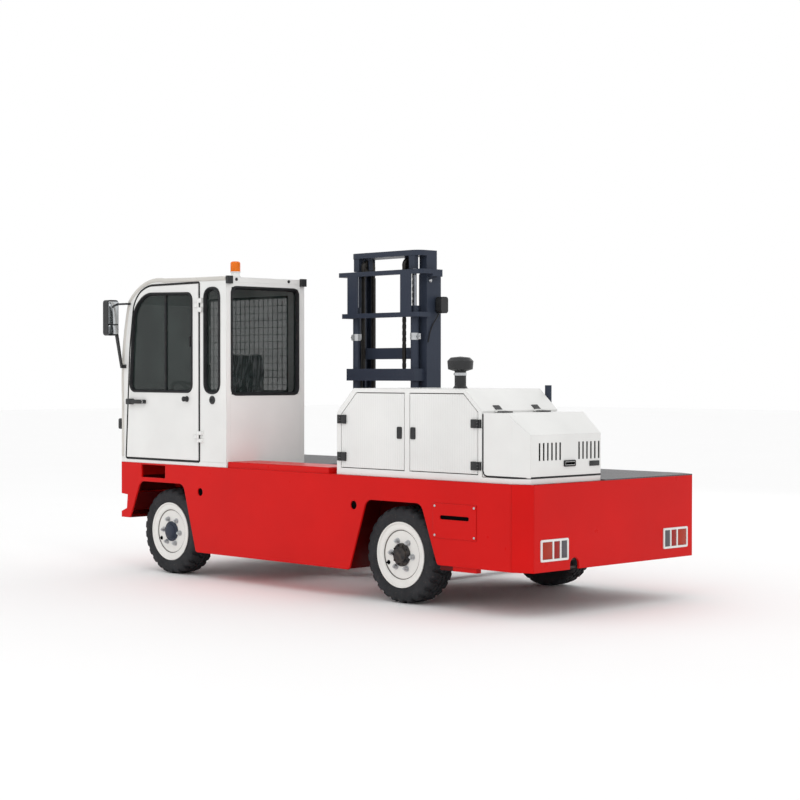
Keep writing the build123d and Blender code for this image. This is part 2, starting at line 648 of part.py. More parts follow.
with BuildPart() as steering_console:
    side_shape(CONSOLE, CONSOLE_V)
    foot = (REAR_X + COLUMN_FOOT[0], LEFT_Y - sum(CONSOLE_V) / 2, COLUMN_FOOT[1])
    column = Plane(origin=foot, z_dir=COLUMN_LEAN)
    with BuildSketch(column):
        Circle(COLUMN_R)
    extrude(amount=COLUMN_LENGTH)
    with BuildSketch(column.offset(COLUMN_LENGTH)):
        Circle(STEERING_HUB_R)
        Rectangle(2 * STEERING_R, SPOKE_W)
    extrude(amount=SPOKE_THICK)
    with Locations(Location(column.offset(COLUMN_LENGTH + SPOKE_THICK / 2))):
        Torus(STEERING_R, STEERING_RIM_R)
keep(steering_console, "steering_console")

# Lamps, beacon and mirror on the cab
ROOF_CAP_W = 55
ROOF_CAPS_V = [(0, ROOF_CAP_W), (CAB_RIGHT_V + CAB_LEFT_V - ROOF_CAP_W, CAB_RIGHT_V + CAB_LEFT_V)]
ROOF_CAP_DEPTH = 26
ROOF_CAP_Z = (CAB_ROOF_Z - 54, CAB_ROOF_Z + 8)
HEADLAMPS_V = [150, CAB_RIGHT_V - 146]
HEADLAMP_Z = BASE_TOP + 275
HEADLAMP_R = 60
HEADLAMP_U = (NOSE_U - 1.5, NOSE_U + 58)
HEADLAMP_ROUND = 20
BEACON = (CAB_REAR_U + 60, 150)
BEACON_FOOT_R = 34
BEACON_R = 40
BEACON_FOOT_Z = (CAB_ROOF_Z + 1.4, CAB_ROOF_Z + 45)
BEACON_TOP = CAB_ROOF_Z + 128
BEACON_ROUND = 18

with BuildPart() as cab_lamps:
    for lamp_v in HEADLAMPS_V:
        round_along_u(lamp_v, HEADLAMP_Z, HEADLAMP_R, HEADLAMP_U)
    fillet(cab_lamps.edges().group_by(Axis.X)[-1], HEADLAMP_ROUND)
    for cap_v in ROOF_CAPS_V:
        block((CAB_REAR_U - ROOF_CAP_DEPTH, CAB_REAR_U), cap_v, ROOF_CAP_Z)
keep(cab_lamps, "cab_lamps")

with BuildPart() as beacon:
    post(*BEACON, BEACON_FOOT_R, BEACON_FOOT_Z)
    post(*BEACON, BEACON_R, (BEACON_FOOT_Z[1], BEACON_TOP))
    fillet(beacon.edges().group_by(Axis.Z)[-1], BEACON_ROUND)
keep(beacon, "beacon")

MIRROR_Z = (CAB_ROOF_Z - 447, CAB_ROOF_Z - 147)
MIRROR_U = (NOSE_U, NOSE_U + MIRROR_LEAD)
MIRROR_V = (-MIRROR_REACH, -30)
MIRROR_ROUND = 25
ARM_V = (-44, -28)
UPPER_FOOT_U = (NOSE_U - 128, NOSE_U - 110)
UPPER_ARM_Z = (CAB_ROOF_Z - 190, CAB_ROOF_Z - 174)
LOWER_FOOT_U = (NOSE_U - 64, NOSE_U - 44)
LOWER_FOOT_Z = (BASE_TOP + 755, BASE_TOP + 785)
LOWER_ARM_TOP_U = (MIRROR_U[0] + 6, MIRROR_U[0] + 38)

with BuildPart() as mirror:
    block(MIRROR_U, MIRROR_V, MIRROR_Z)
    fillet(mirror.edges().filter_by(Axis.X), MIRROR_ROUND)
    block((UPPER_FOOT_U[0], MIRROR_U[0]), ARM_V, UPPER_ARM_Z)
    block(UPPER_FOOT_U, (ARM_V[0], CAB_LEFT_V), UPPER_ARM_Z)
    side_shape(
        [
            (LOWER_FOOT_U[0], LOWER_FOOT_Z[0]),
            (LOWER_FOOT_U[1], LOWER_FOOT_Z[0]),
            (LOWER_ARM_TOP_U[1], MIRROR_Z[0] + MIRROR_ROUND),
            (LOWER_ARM_TOP_U[0], MIRROR_Z[0] + MIRROR_ROUND),
        ],
        ARM_V,
    )
    block(LOWER_FOOT_U, (ARM_V[0], CAB_LEFT_V), LOWER_FOOT_Z)
keep(mirror, "mirror")

# Engine hood: outlines of the shell, its two doors and the rear hood
DOOR_LOW_Z = BASE_TOP + 19
DOOR_TOP_Z = HOOD_TOP - 36
HOOD_OUTLINE = [
    (HOOD_REAR_U, BASE_TOP),
    (HOOD_REAR_U, HOOD_TOP - 149),
    (HOOD_REAR_U + 163, HOOD_TOP),
    (HOOD_FRONT_U - 179, HOOD_TOP),
    (HOOD_FRONT_U, HOOD_TOP - 178),
    (HOOD_FRONT_U, BASE_TOP),
]
HOOD_INSIDE = [
    (HOOD_REAR_U + HOOD_WALL, BASE_TOP),
    (HOOD_REAR_U + HOOD_WALL, HOOD_TOP - 160),
    (HOOD_REAR_U + 173, HOOD_TOP - HOOD_WALL),
    (HOOD_FRONT_U - 189, HOOD_TOP - HOOD_WALL),
    (HOOD_FRONT_U - HOOD_WALL, HOOD_TOP - 188),
    (HOOD_FRONT_U - HOOD_WALL, BASE_TOP),
]
FRONT_DOOR = [
    (HOOD_FRONT_U - 700, DOOR_LOW_Z),
    (HOOD_FRONT_U - 51, DOOR_LOW_Z),
    (HOOD_FRONT_U - 51, HOOD_TOP - 195),
    (HOOD_FRONT_U - 210, DOOR_TOP_Z),
    (HOOD_FRONT_U - 700, DOOR_TOP_Z),
]
REAR_DOOR = [
    (HOOD_REAR_U + 42, DOOR_LOW_Z),
    (HOOD_FRONT_U - 761, DOOR_LOW_Z),
    (HOOD_FRONT_U - 761, DOOR_TOP_Z),
    (HOOD_REAR_U + 174, DOOR_TOP_Z),
    (HOOD_REAR_U + 42, HOOD_TOP - 159),
]
LID_FRONT_U = HOOD_REAR_U - 9
LID_REAR_U = 34
LID_BEND_U = 150
LID_SLOPE_U = 190
LID_SLOPE = 145
LID_CORNER_V = 54
LID_TOP = HOOD_TOP - 162
LID_FOOT_Z = BASE_TOP + 5
LID_PLAN = [
    (LID_FRONT_U, HOOD_LEFT_V),
    (LID_BEND_U, HOOD_LEFT_V),
    (LID_REAR_U, HOOD_LEFT_V + LID_CORNER_V),
    (LID_REAR_U, HOOD_RIGHT_V),
    (LID_FRONT_U, HOOD_RIGHT_V),
]
LID_SIDE = [
    (LID_FRONT_U, LID_FOOT_Z),
    (LID_FRONT_U, LID_TOP),
    (LID_SLOPE_U, LID_TOP),
    (LID_REAR_U, LID_TOP - LID_SLOPE),
    (LID_REAR_U, LID_FOOT_Z),
]
ENGINE_U = (HOOD_REAR_U + 213, HOOD_FRONT_U - 98)
ENGINE_V = (REAR_BEAMS_V[0][1], HOOD_RIGHT_V - 45)
ENGINE_Z = (AXLE_Z + 150, HOOD_TOP - 127)
ENGINE_CLEAR = 20

# Hinges of the hood doors and of the rear hood
HOOD_HINGE_V = HOOD_LEFT_V - 11
HOOD_HINGE_R = 8
HOOD_LEAF = 60
FIXED_LEAF = 28
HOOD_HANDLE_HALF = 20
HOOD_HANDLE_Z = (BASE_TOP + 245, BASE_TOP + 325)
HOOD_HANDLE_PROUD = 6
FRONT_HINGES = [(BASE_TOP + 65, BASE_TOP + 130), (HOOD_TOP - 262, HOOD_TOP - 197)]
REAR_HINGES = [(BASE_TOP + 45, BASE_TOP + 105), (HOOD_TOP - 267, HOOD_TOP - 207)]
# door name, outline, hinge u, way from hinge into the door, handle u, hinge heights
HOOD_DOORS = [
    ("hood_door_front", FRONT_DOOR, HOOD_FRONT_U - 42, -1, HOOD_FRONT_U - 656, FRONT_HINGES),
    ("hood_door_rear", REAR_DOOR, HOOD_REAR_U + 33, 1, HOOD_FRONT_U - 792, REAR_HINGES),
]
LID_HINGE = (HOOD_REAR_U - 15, HOOD_TOP - 150)
LID_HINGE_R = 8
LID_LEAF = 45
LID_HINGES_V = [(150, 250), (HOOD_RIGHT_V - 260, HOOD_RIGHT_V - 160)]
LID_BRACKET_Z = (LID_HINGE[1] - LID_HINGE_R, LID_HINGE[1])

with BuildPart() as hood_shell:
    side_shape(HOOD_OUTLINE, (HOOD_LEFT_V, HOOD_RIGHT_V))
    side_shape(HOOD_INSIDE, (HOOD_LEFT_V + HOOD_WALL, HOOD_RIGHT_V - HOOD_WALL), Mode.SUBTRACT)
    hood_base = LID_PLAN[1:-1] + [(HOOD_FRONT_U, HOOD_RIGHT_V), (HOOD_FRONT_U, HOOD_LEFT_V)]
    top_shape(hood_base, (PLATE_TOP, BASE_TOP))
    block(
        (ENGINE_U[0] - ENGINE_CLEAR, ENGINE_U[1] + ENGINE_CLEAR),
        (ENGINE_V[0] - ENGINE_CLEAR, ENGINE_V[1] + ENGINE_CLEAR),
        (PLATE_TOP, BASE_TOP),
        Mode.SUBTRACT,
    )
    for _, outline, hinge_u, inward, _, hinges in HOOD_DOORS:
        side_shape(outline, (HOOD_LEFT_V, HOOD_LEFT_V + HOOD_WALL), Mode.SUBTRACT, HOOD_GAP)
        leaf_u = sorted((hinge_u, hinge_u - inward * FIXED_LEAF))
        for hinge_z in hinges:
            low, _, high = knuckles(hinge_z)
            for knuckle_z in (low, high):
                post(hinge_u, HOOD_HINGE_V, HOOD_HINGE_R, knuckle_z)
                block(leaf_u, (HOOD_HINGE_V, HOOD_LEFT_V), knuckle_z)
    for hinge_v in LID_HINGES_V:
        low, _, high = knuckles(hinge_v)
        for knuckle_v in (low, high):
            round_along_v(*LID_HINGE, LID_HINGE_R, knuckle_v)
            block((LID_HINGE[0], HOOD_REAR_U), knuckle_v, LID_BRACKET_Z)
keep(hood_shell, "hood_shell")

# Hood doors: a leaf, two hinges at the outer edge and a handle by the middle post
for name, outline, hinge_u, inward, handle_u, hinges in HOOD_DOORS:
    with BuildPart() as hood_door:
        side_shape(outline, (HOOD_LEFT_V, HOOD_LEFT_V + HOOD_WALL))
        for hinge_z in hinges:
            _, leaf_z, _ = knuckles(hinge_z)
            post(hinge_u, HOOD_HINGE_V, HOOD_HINGE_R, leaf_z)
            block(sorted((hinge_u, hinge_u + inward * HOOD_LEAF)), (HOOD_HINGE_V, HOOD_LEFT_V), leaf_z)
        handle_v = (HOOD_LEFT_V - HOOD_HANDLE_PROUD, HOOD_LEFT_V)
        block(around(handle_u, HOOD_HANDLE_HALF), handle_v, HOOD_HANDLE_Z)
    keep(hood_door, name)

# Rear hood, which lifts about the hinge at its front top edge
SLOT_Z = (BASE_TOP + 120, BASE_TOP + 240)
SLOT_W = 16
SLOT_PITCH = 43
SLOT_GROUPS_V = [155, HOOD_RIGHT_V - 243]
SLOTS_PER_GROUP = 6
LATCH_V = (417, 534)
LATCH_Z = (BASE_TOP + 80, BASE_TOP + 110)
LATCH_PROUD = 8

with BuildPart() as rear_hood:
    side_shape(LID_SIDE, (HOOD_LEFT_V, HOOD_RIGHT_V))
    top_shape(LID_PLAN, (LID_FOOT_Z, LID_TOP), Mode.INTERSECT)
    lid_openings = [
        rear_hood.faces().sort_by(Axis.X)[-1],
        rear_hood.faces().sort_by(Axis.Z)[0],
    ]
    offset(amount=-LID_WALL, openings=lid_openings, kind=Kind.INTERSECTION)
    for group_v in SLOT_GROUPS_V:
        for index in range(SLOTS_PER_GROUP):
            slot_v = group_v + index * SLOT_PITCH
            block((LID_REAR_U, LID_REAR_U + LID_WALL), (slot_v, slot_v + SLOT_W), SLOT_Z, Mode.SUBTRACT)
    for hinge_v in LID_HINGES_V:
        _, leaf_v, _ = knuckles(hinge_v)
        round_along_v(*LID_HINGE, LID_HINGE_R, leaf_v)
        block((LID_HINGE[0] - LID_LEAF, LID_HINGE[0]), leaf_v, (LID_TOP, LID_TOP + LID_HINGE_R))
    block((LID_REAR_U - LATCH_PROUD, LID_REAR_U), LATCH_V, LATCH_Z)
keep(rear_hood, "rear_hood")

with BuildPart() as engine:
    block(ENGINE_U, ENGINE_V, ENGINE_Z)
keep(engine, "engine")

# Air pre-cleaner on the hood and the post beside it
PRECLEANER = (HOOD_FRONT_U - 848, 450)
# radius, height above the hood
PRECLEANER_SECTION = [
    (0, 0),
    (55, 0),
    (42, 20),
    (42, 123),
    (90, 138),
    (95, 198),
    (70, 223),
    (0, 231),
]
STACK = (HOOD_REAR_U + 123, HOOD_RIGHT_V + 47)
STACK_R = 24
STACK_BORE_R = 19
STACK_FOOT_R = 34
STACK_FOOT = 12
STACK_TOP = HOOD_TOP + 23
STACK_BORE_LOW = HOOD_TOP - 147

with BuildPart() as precleaner:
    with BuildSketch(Plane.XZ.offset(PRECLEANER[1] - LEFT_Y)):
        with BuildLine():
            bowl_u = REAR_X + PRECLEANER[0]
            Polyline(*[(bowl_u + radius, HOOD_TOP + z) for radius, z in PRECLEANER_SECTION], close=True)
        make_face()
    revolve(axis=Axis((bowl_u, LEFT_Y - PRECLEANER[1], 0), (0, 0, 1)))
keep(precleaner, "precleaner")

with BuildPart() as exhaust_stack:
    post(*STACK, STACK_R, (DECK_Z[1], STACK_TOP))
    post(*STACK, STACK_BORE_R, (STACK_BORE_LOW, STACK_TOP), Mode.SUBTRACT)
    post(*STACK, STACK_FOOT_R, (DECK_Z[1], DECK_Z[1] + STACK_FOOT))
keep(exhaust_stack, "exhaust_stack")

# Axles
AXLE_TUBE_R = 70
AXLE_TUBE_V = (WHEEL_V + 117, TRUCK_WIDTH - WHEEL_V - 117)
BRAKE_R = 150
BRAKE_W = 70
BOWL_R = 150
SPRING_SEAT_HALF = 60
STUB_OUT = 40

with BuildPart() as rear_axle:
    round_along_v(REAR_AXLE_U, AXLE_Z, AXLE_TUBE_R, AXLE_TUBE_V)
    round_along_v(REAR_AXLE_U, AXLE_Z, STUB_R, (WHEEL_V - STUB_OUT, TRUCK_WIDTH - WHEEL_V + STUB_OUT))
    for brake_v in (
        (AXLE_TUBE_V[0] - BRAKE_W, AXLE_TUBE_V[0]),
        (AXLE_TUBE_V[1], AXLE_TUBE_V[1] + BRAKE_W),
    ):
        round_along_v(REAR_AXLE_U, AXLE_Z, BRAKE_R, brake_v)
    with Locations((REAR_X + REAR_AXLE_U, LEFT_Y - TRUCK_WIDTH / 2, AXLE_Z)):
        Sphere(BOWL_R)
    for beam_v in REAR_BEAMS_V:
        block(around(REAR_AXLE_U, SPRING_SEAT_HALF), beam_v, (AXLE_Z, REAR_BEAM_Z[0]))
keep(rear_axle, "rear_axle")

EYE_R = 40
EYE_HALF = 58
AXLE_BEAM_HALF_U = 40
AXLE_BEAM_HALF_Z = 55
AXLE_STAND_HALF = 80

with BuildPart() as front_axle:
    pins_v = (KINGPIN_V, TRUCK_WIDTH - KINGPIN_V)
    block(around(FRONT_AXLE_U, AXLE_BEAM_HALF_U), pins_v, around(AXLE_Z, AXLE_BEAM_HALF_Z))
    for pin_v in pins_v:
        post(FRONT_AXLE_U, pin_v, EYE_R, around(AXLE_Z, EYE_HALF))
        post(FRONT_AXLE_U, pin_v, KINGPIN_R + PIN_FIT, around(AXLE_Z, EYE_HALF), Mode.SUBTRACT)
    stand_v = around(TRUCK_WIDTH / 2, AXLE_STAND_HALF)
    block(around(FRONT_AXLE_U, SPRING_SEAT_HALF), stand_v, (AXLE_Z, AXLE_TABLE_Z[0]))
keep(front_axle, "front_axle")

# Steering knuckles and the tie rod, which stays parallel to the axle
YOKE = (62, 95)
TIE_PIN_R = 10
TIE_EYE_R = 18
TIE_ROD_R = 10
TIE_Z = (AXLE_Z - 125, AXLE_Z - 101)
ARM_U = FRONT_AXLE_U - STEER_ARM
KNUCKLE_HALF = 45
KNUCKLE_PLATE_V = (WHEEL_V + 32, WHEEL_V + 49)
KNUCKLE_INNER_V = KINGPIN_V + 45


def sided(right, v):
    """A distance from the left side, or the same distance from the right side."""
    return TRUCK_WIDTH - v if right else v


def sided_span(right, low, high):
    return sorted((sided(right, low), sided(right, high)))


for name, right in (("knuckle_left", False), ("knuckle_right", True)):
    with BuildPart() as knuckle:
        knuckle_u = around(FRONT_AXLE_U, KNUCKLE_HALF)
        arm_z = (AXLE_Z - YOKE[1], AXLE_Z - YOKE[0])
        stub_v = sided_span(right, WHEEL_V - STUB_OUT, KNUCKLE_PLATE_V[1])
        round_along_v(FRONT_AXLE_U, AXLE_Z, STUB_R, stub_v)
        block(knuckle_u, sided_span(right, *KNUCKLE_PLATE_V), around(AXLE_Z, YOKE[1]))
        for yoke_z in (arm_z, (AXLE_Z + YOKE[0], AXLE_Z + YOKE[1])):
            block(knuckle_u, sided_span(right, KNUCKLE_PLATE_V[0], KNUCKLE_INNER_V), yoke_z)
        post(FRONT_AXLE_U, sided(right, KINGPIN_V), KINGPIN_R, around(AXLE_Z, YOKE[1]))
        arm_v = sided_span(right, KINGPIN_V - TIE_EYE_R, KINGPIN_V + TIE_EYE_R)
        block((ARM_U, FRONT_AXLE_U), arm_v, arm_z)
        post(ARM_U, sided(right, KINGPIN_V), TIE_EYE_R, arm_z)
        post(ARM_U, sided(right, KINGPIN_V), TIE_PIN_R, (TIE_Z[0], arm_z[0]))
    keep(knuckle, name)

with BuildPart() as tie_rod:
    round_along_v(ARM_U, sum(TIE_Z) / 2, TIE_ROD_R, (KINGPIN_V, TRUCK_WIDTH - KINGPIN_V))
    for pin_v in (KINGPIN_V, TRUCK_WIDTH - KINGPIN_V):
        post(ARM_U, pin_v, TIE_EYE_R, TIE_Z)
        post(ARM_U, pin_v, TIE_PIN_R + PIN_FIT, TIE_Z, Mode.SUBTRACT)
keep(tie_rod, "tie_rod")

# Wheels: a dished rim with its hub, and a tyre with notched shoulders, at each corner
# wheel name, axle u, right side
WHEELS = [
    ("front_left", FRONT_AXLE_U, False),
    ("front_right", FRONT_AXLE_U, True),
    ("rear_left", REAR_AXLE_U, False),
    ("rear_right", REAR_AXLE_U, True),
]
RIM_HALF_W = 109
BARREL_R = RIM_R - 12
FLANGE_W = 6
DISC_W = (72, 88)
DISC_R = RIM_R - 45
HUB_R = 78
HUB_W = (-26, 96)
HUB_FLOOR_W = 45
BEAD_HALF_W = 100
BORE_R = STUB_R + PIN_FIT
# radius, distance outwards from the wheel's middle
RIM_SECTION = [
    (BARREL_R, -RIM_HALF_W),
    (RIM_FLANGE_R, -RIM_HALF_W),
    (RIM_FLANGE_R, FLANGE_W - RIM_HALF_W),
    (RIM_R, FLANGE_W - RIM_HALF_W),
    (RIM_R, RIM_HALF_W - FLANGE_W),
    (RIM_FLANGE_R, RIM_HALF_W - FLANGE_W),
    (RIM_FLANGE_R, RIM_HALF_W),
    (RIM_R + 4, RIM_HALF_W),
    (RIM_R - 4, RIM_HALF_W - 9),
    (DISC_R + 10, DISC_W[1] + 12),
    (DISC_R, DISC_W[1] + 6),
    (DISC_R, DISC_W[1]),
    (HUB_R, DISC_W[1]),
    (HUB_R, HUB_W[1]),
    (0, HUB_W[1]),
    (0, HUB_FLOOR_W),
    (BORE_R, HUB_FLOOR_W),
    (BORE_R, HUB_W[0]),
    (HUB_R, HUB_W[0]),
    (HUB_R, DISC_W[0]),
    (DISC_R - 6, DISC_W[0]),
    (BARREL_R, DISC_W[0] + 16),
]
TYRE_SECTION = [
    (RIM_R, -BEAD_HALF_W),
    (TYRE_R - 50, -TYRE_HALF_W),
    (TYRE_R - 18, 4 - TYRE_HALF_W),
    (TYRE_R, 24 - TYRE_HALF_W),
    (TYRE_R, TYRE_HALF_W - 24),
    (TYRE_R - 18, TYRE_HALF_W - 4),
    (TYRE_R - 50, TYRE_HALF_W),
    (RIM_R, BEAD_HALF_W),
]
NOTCHES = 26
NOTCH_DEPTH = 14
NOTCH_W = 27
NOTCH_START_W = 46


def wheel_centre(axle_u, right):
    return Vector(REAR_X + axle_u, LEFT_Y - sided(right, WHEEL_V), AXLE_Z)


def spun(section, axle_u, right):
    """A section of (radius, distance outwards) points turned about a wheel's axle."""
    outwards = -1 if right else 1
    centre = wheel_centre(axle_u, right)
    with BuildSketch(Plane(origin=centre, x_dir=(0, 0, 1), z_dir=(-1, 0, 0))) as half:
        with BuildLine():
            Polyline(*[(radius, out * outwards) for radius, out in section], close=True)
        make_face()
    revolve(half.sketch, axis=Axis(centre, (0, 1, 0)))


for name, axle_u, right in WHEELS:
    with BuildPart() as rim:
        spun(RIM_SECTION, axle_u, right)
    keep(rim, f"rim_{name}")
    with BuildPart() as tyre:
        spun(TYRE_SECTION, axle_u, right)
        for way in (-1, 1):
            shoulder = wheel_centre(axle_u, right) + Vector(0, way * NOTCH_START_W, 0)
            with BuildSketch(Plane(origin=shoulder, x_dir=(1, 0, 0), z_dir=(0, way, 0))):
                with PolarLocations(TYRE_R, NOTCHES):
                    Rectangle(2 * NOTCH_DEPTH, NOTCH_W)
            extrude(amount=TYRE_HALF_W, mode=Mode.SUBTRACT)
    keep(tyre, f"tyre_{name}")

# Mast: sizes that its parts share
CHANNEL_HALF = WELL_LENGTH / 2 - 87
CHANNEL_DEPTH = 160
CHANNEL_FLANGE = 87
CHANNEL_WALL = 14
CHANNEL_FRONT_V = CHANNEL_V + CHANNEL_DEPTH
FLANGE_IN = CHANNEL_HALF - CHANNEL_FLANGE
CYLINDER_V = CHANNEL_V - 50
CYLINDER_HALF = CHANNEL_HALF - 84
SHEAVE_V = CHANNEL_V - 15
SHEAVE_HALF = CHANNEL_HALF - 181
SHEAVE_Z = INNER_TOP - 118
PIVOT_V = CHANNEL_V + 80
PIVOT_Z = 330
PIVOT_R = 30
TILT_HALF = CHANNEL_HALF - 183
TILT_BASE = (CHANNEL_V - 155, 560)
TILT_EYE = (CHANNEL_V - 80, (OUTER_TOP + MAST_FOOT_Z) / 2 - 98.5)
TILT_PIN_R = 14
EAR = (32, 44)
FORK_PLATE_Z = (110, 650)

# Mast carriage: two side plates on rollers in the rails, a rear beam and the mast's pivot bores
SIDE_PLATE_HALF = (CHANNEL_HALF + 6, CHANNEL_HALF + 26)
CARRIAGE_V = (CHANNEL_V - 190, CHANNEL_V + 200)
CARRIAGE_Z = (RAIL_Z - 200, RAIL_Z + 190)
CARRIAGE_BEAM = 15
CARRIAGE_BEAM_Z = (RAIL_Z - 70, TILT_BASE[1] - 40)
ROLLERS_V = [CHANNEL_V - 125, CHANNEL_V + 135]
ROLLER_R = RAIL_HALF - RAIL_WALL - HAIR
ROLLER_AXLE_R = 25
RAIL_INSIDE = WELL_LENGTH / 2 - RAIL_WALL
ROLLER_HALF = (RAIL_INSIDE - 40, RAIL_INSIDE - 6)
EAR_REACH = 25


def tilt_ears(middle, v, z):
    """A pair of ears on each side of the mast, and the pin between them."""
    for side in (-1, 1):
        ram_u = MAST_U + side * TILT_HALF
        for way in (-1, 1):
            block(sorted((ram_u + way * EAR[0], ram_u + way * EAR[1])), v, z)
        round_along_u(*middle, TILT_PIN_R, around(ram_u, EAR[0]))


with BuildPart() as mast_carriage:
    mast_block(SIDE_PLATE_HALF, CARRIAGE_V, CARRIAGE_Z)
    beam_v = (CARRIAGE_V[0], CARRIAGE_V[0] + CARRIAGE_BEAM)
    block(around(MAST_U, SIDE_PLATE_HALF[0]), beam_v, CARRIAGE_BEAM_Z)
    for side in (-1, 1):
        for roller_v in ROLLERS_V:
            round_along_u(roller_v, RAIL_Z, ROLLER_R, from_mast(side, *ROLLER_HALF))
            axle_span = from_mast(side, SIDE_PLATE_HALF[0], ROLLER_HALF[1])
            round_along_u(roller_v, RAIL_Z, ROLLER_AXLE_R, axle_span)
        round_along_u(PIVOT_V, PIVOT_Z, PIVOT_R + PIN_FIT, from_mast(side, *SIDE_PLATE_HALF), Mode.SUBTRACT)
    ears_z = (CARRIAGE_BEAM_Z[1] - EAR_REACH, TILT_BASE[1] + EAR_REACH)
    tilt_ears(TILT_BASE, (CARRIAGE_V[0], TILT_BASE[0] + EAR_REACH), ears_z)
keep(mast_carriage, "mast_carriage")

# Outer mast: two channels facing each other, tied behind by plates that pass round the rods
TIE_V = (CHANNEL_V - 130, CHANNEL_V - 90)
TIE_ROUND = 30
# distance beyond the channel, depth of the wing, z low, z high
TIES = [
    (65, 240, OUTER_TOP, OUTER_TOP + 36),
    (24, 147, OUTER_TOP - 337, OUTER_TOP - 299),
]
WING_GRIP = 20
STAY_HALF = (CHANNEL_HALF - 168, CHANNEL_HALF - 53)
STAY_THICK = 12
LOW_BEAM_HALF = CHANNEL_HALF - 28
LOW_BEAM_V = (CHANNEL_V - 115, CHANNEL_V - 90)
LOW_BEAM_Z = (OUTER_TOP - 840, OUTER_TOP - 744)
ANCHOR_Z = (LOW_BEAM_Z[1] - 53, LOW_BEAM_Z[1] - 13)
ANCHOR_HALF = 20
ANCHOR_DEEP = 8
FOOT_BEAM_Z = (MAST_FOOT_Z, MAST_FOOT_Z + 60)
CROSS_BAR_V = (CHANNEL_V - 12, CHANNEL_V)
CROSS_BAR_HALF_Z = 30
EYE_EAR_HALF_Z = 22

with BuildPart() as outer_mast:
    channel_z = (MAST_FOOT_Z, OUTER_TOP)
    mast_block((FLANGE_IN, CHANNEL_HALF), (CHANNEL_V, CHANNEL_FRONT_V), channel_z)
    groove_v = (CHANNEL_V + CHANNEL_WALL, CHANNEL_FRONT_V - CHANNEL_WALL)
    mast_block((FLANGE_IN, CHANNEL_HALF - CHANNEL_WALL), groove_v, channel_z, Mode.SUBTRACT)
    for beyond, depth, low_z, high_z in TIES:
        half = CHANNEL_HALF + beyond
        tie_left, tie_right = around(MAST_U, half)
        open_left, open_right = around(MAST_U, CHANNEL_HALF)
        top_shape(
            [
                (tie_left, TIE_V[0], min(TIE_ROUND, beyond)),
                (tie_right, TIE_V[0], min(TIE_ROUND, beyond)),
                (tie_right, TIE_V[0] + depth),
                (open_right, TIE_V[0] + depth),
                (open_right, TIE_V[1]),
                (open_left, TIE_V[1]),
                (open_left, TIE_V[0] + depth),
                (tie_left, TIE_V[0] + depth),
            ],
            (low_z, high_z),
        )
    top_half = CHANNEL_HALF + TIES[0][0]
    wing_v = (CHANNEL_V, TIE_V[0] + TIES[0][1])
    mast_block((CHANNEL_HALF, top_half), wing_v, (OUTER_TOP - WING_GRIP, OUTER_TOP))
    mast_block(STAY_HALF, (TIE_V[0], TIE_V[0] + STAY_THICK), (TIES[1][3], TIES[0][2]))
    block(around(MAST_U, LOW_BEAM_HALF), LOW_BEAM_V, LOW_BEAM_Z)
    mast_block((LOW_BEAM_HALF - PLATE, LOW_BEAM_HALF), (LOW_BEAM_V[0], CHANNEL_V), LOW_BEAM_Z)
    anchor_v = (LOW_BEAM_V[1], LOW_BEAM_V[1] + ANCHOR_DEEP)
    mast_block((SHEAVE_HALF - ANCHOR_HALF, SHEAVE_HALF + ANCHOR_HALF), anchor_v, ANCHOR_Z)
    block(around(MAST_U, CHANNEL_HALF), (LOW_BEAM_V[1], CHANNEL_V), FOOT_BEAM_Z)
    block(around(MAST_U, CHANNEL_HALF), CROSS_BAR_V, around(TILT_EYE[1], CROSS_BAR_HALF_Z))
    tilt_ears(TILT_EYE, (TILT_EYE[0] - EAR_REACH, CROSS_BAR_V[0]), around(TILT_EYE[1], EYE_EAR_HALF_Z))
    for side in (-1, 1):
        pin_u = from_mast(side, CHANNEL_HALF - CHANNEL_WALL / 2, SIDE_PLATE_HALF[1])
        round_along_u(PIVOT_V, PIVOT_Z, PIVOT_R, pin_u)
keep(outer_mast, "outer_mast")

# Lift cylinders: tubes with a bore for the rod and a gland on top
CYLINDER_R = 33
ROD_R = 15
ROD_FIT = 0.5
GLAND_Z = (OUTER_TOP - 287, OUTER_TOP - 247)
BARREL_BORE_R = 25
BARREL_FLOOR_Z = 300

with BuildPart() as lift_cylinders:
    for side in (-1, 1):
        cylinder_u = MAST_U + side * CYLINDER_HALF
        post(cylinder_u, CYLINDER_V, CYLINDER_R, (FOOT_BEAM_Z[1], GLAND_Z[1]))
        post(cylinder_u, CYLINDER_V, BARREL_BORE_R, (BARREL_FLOOR_Z, GLAND_Z[0]), Mode.SUBTRACT)
        post(cylinder_u, CYLINDER_V, ROD_R + ROD_FIT, GLAND_Z, Mode.SUBTRACT)
keep(lift_cylinders, "lift_cylinders")

# Work lamp on the rear face of the outer mast
LAMP_BODY = (CHANNEL_HALF + 15, CHANNEL_HALF + 75)
LAMP_BODY_V = (CHANNEL_V + 85, CHANNEL_V + 165)
LAMP_FOOT_V = (CHANNEL_V + 100, CHANNEL_V + 150)
MAST_LAMP_Z = (OUTER_TOP - 307, OUTER_TOP - 177)
LAMP_FOOT_Z = (OUTER_TOP - 287, OUTER_TOP - 197)
MAST_LAMP_ROUND = 24

with BuildPart() as mast_lamp:
    block(from_mast(-1, *LAMP_BODY), LAMP_BODY_V, MAST_LAMP_Z)
    fillet(mast_lamp.edges().filter_by(Axis.X), MAST_LAMP_ROUND)
    block(from_mast(-1, CHANNEL_HALF, LAMP_BODY[0]), LAMP_FOOT_V, LAMP_FOOT_Z)
keep(mast_lamp, "mast_lamp")

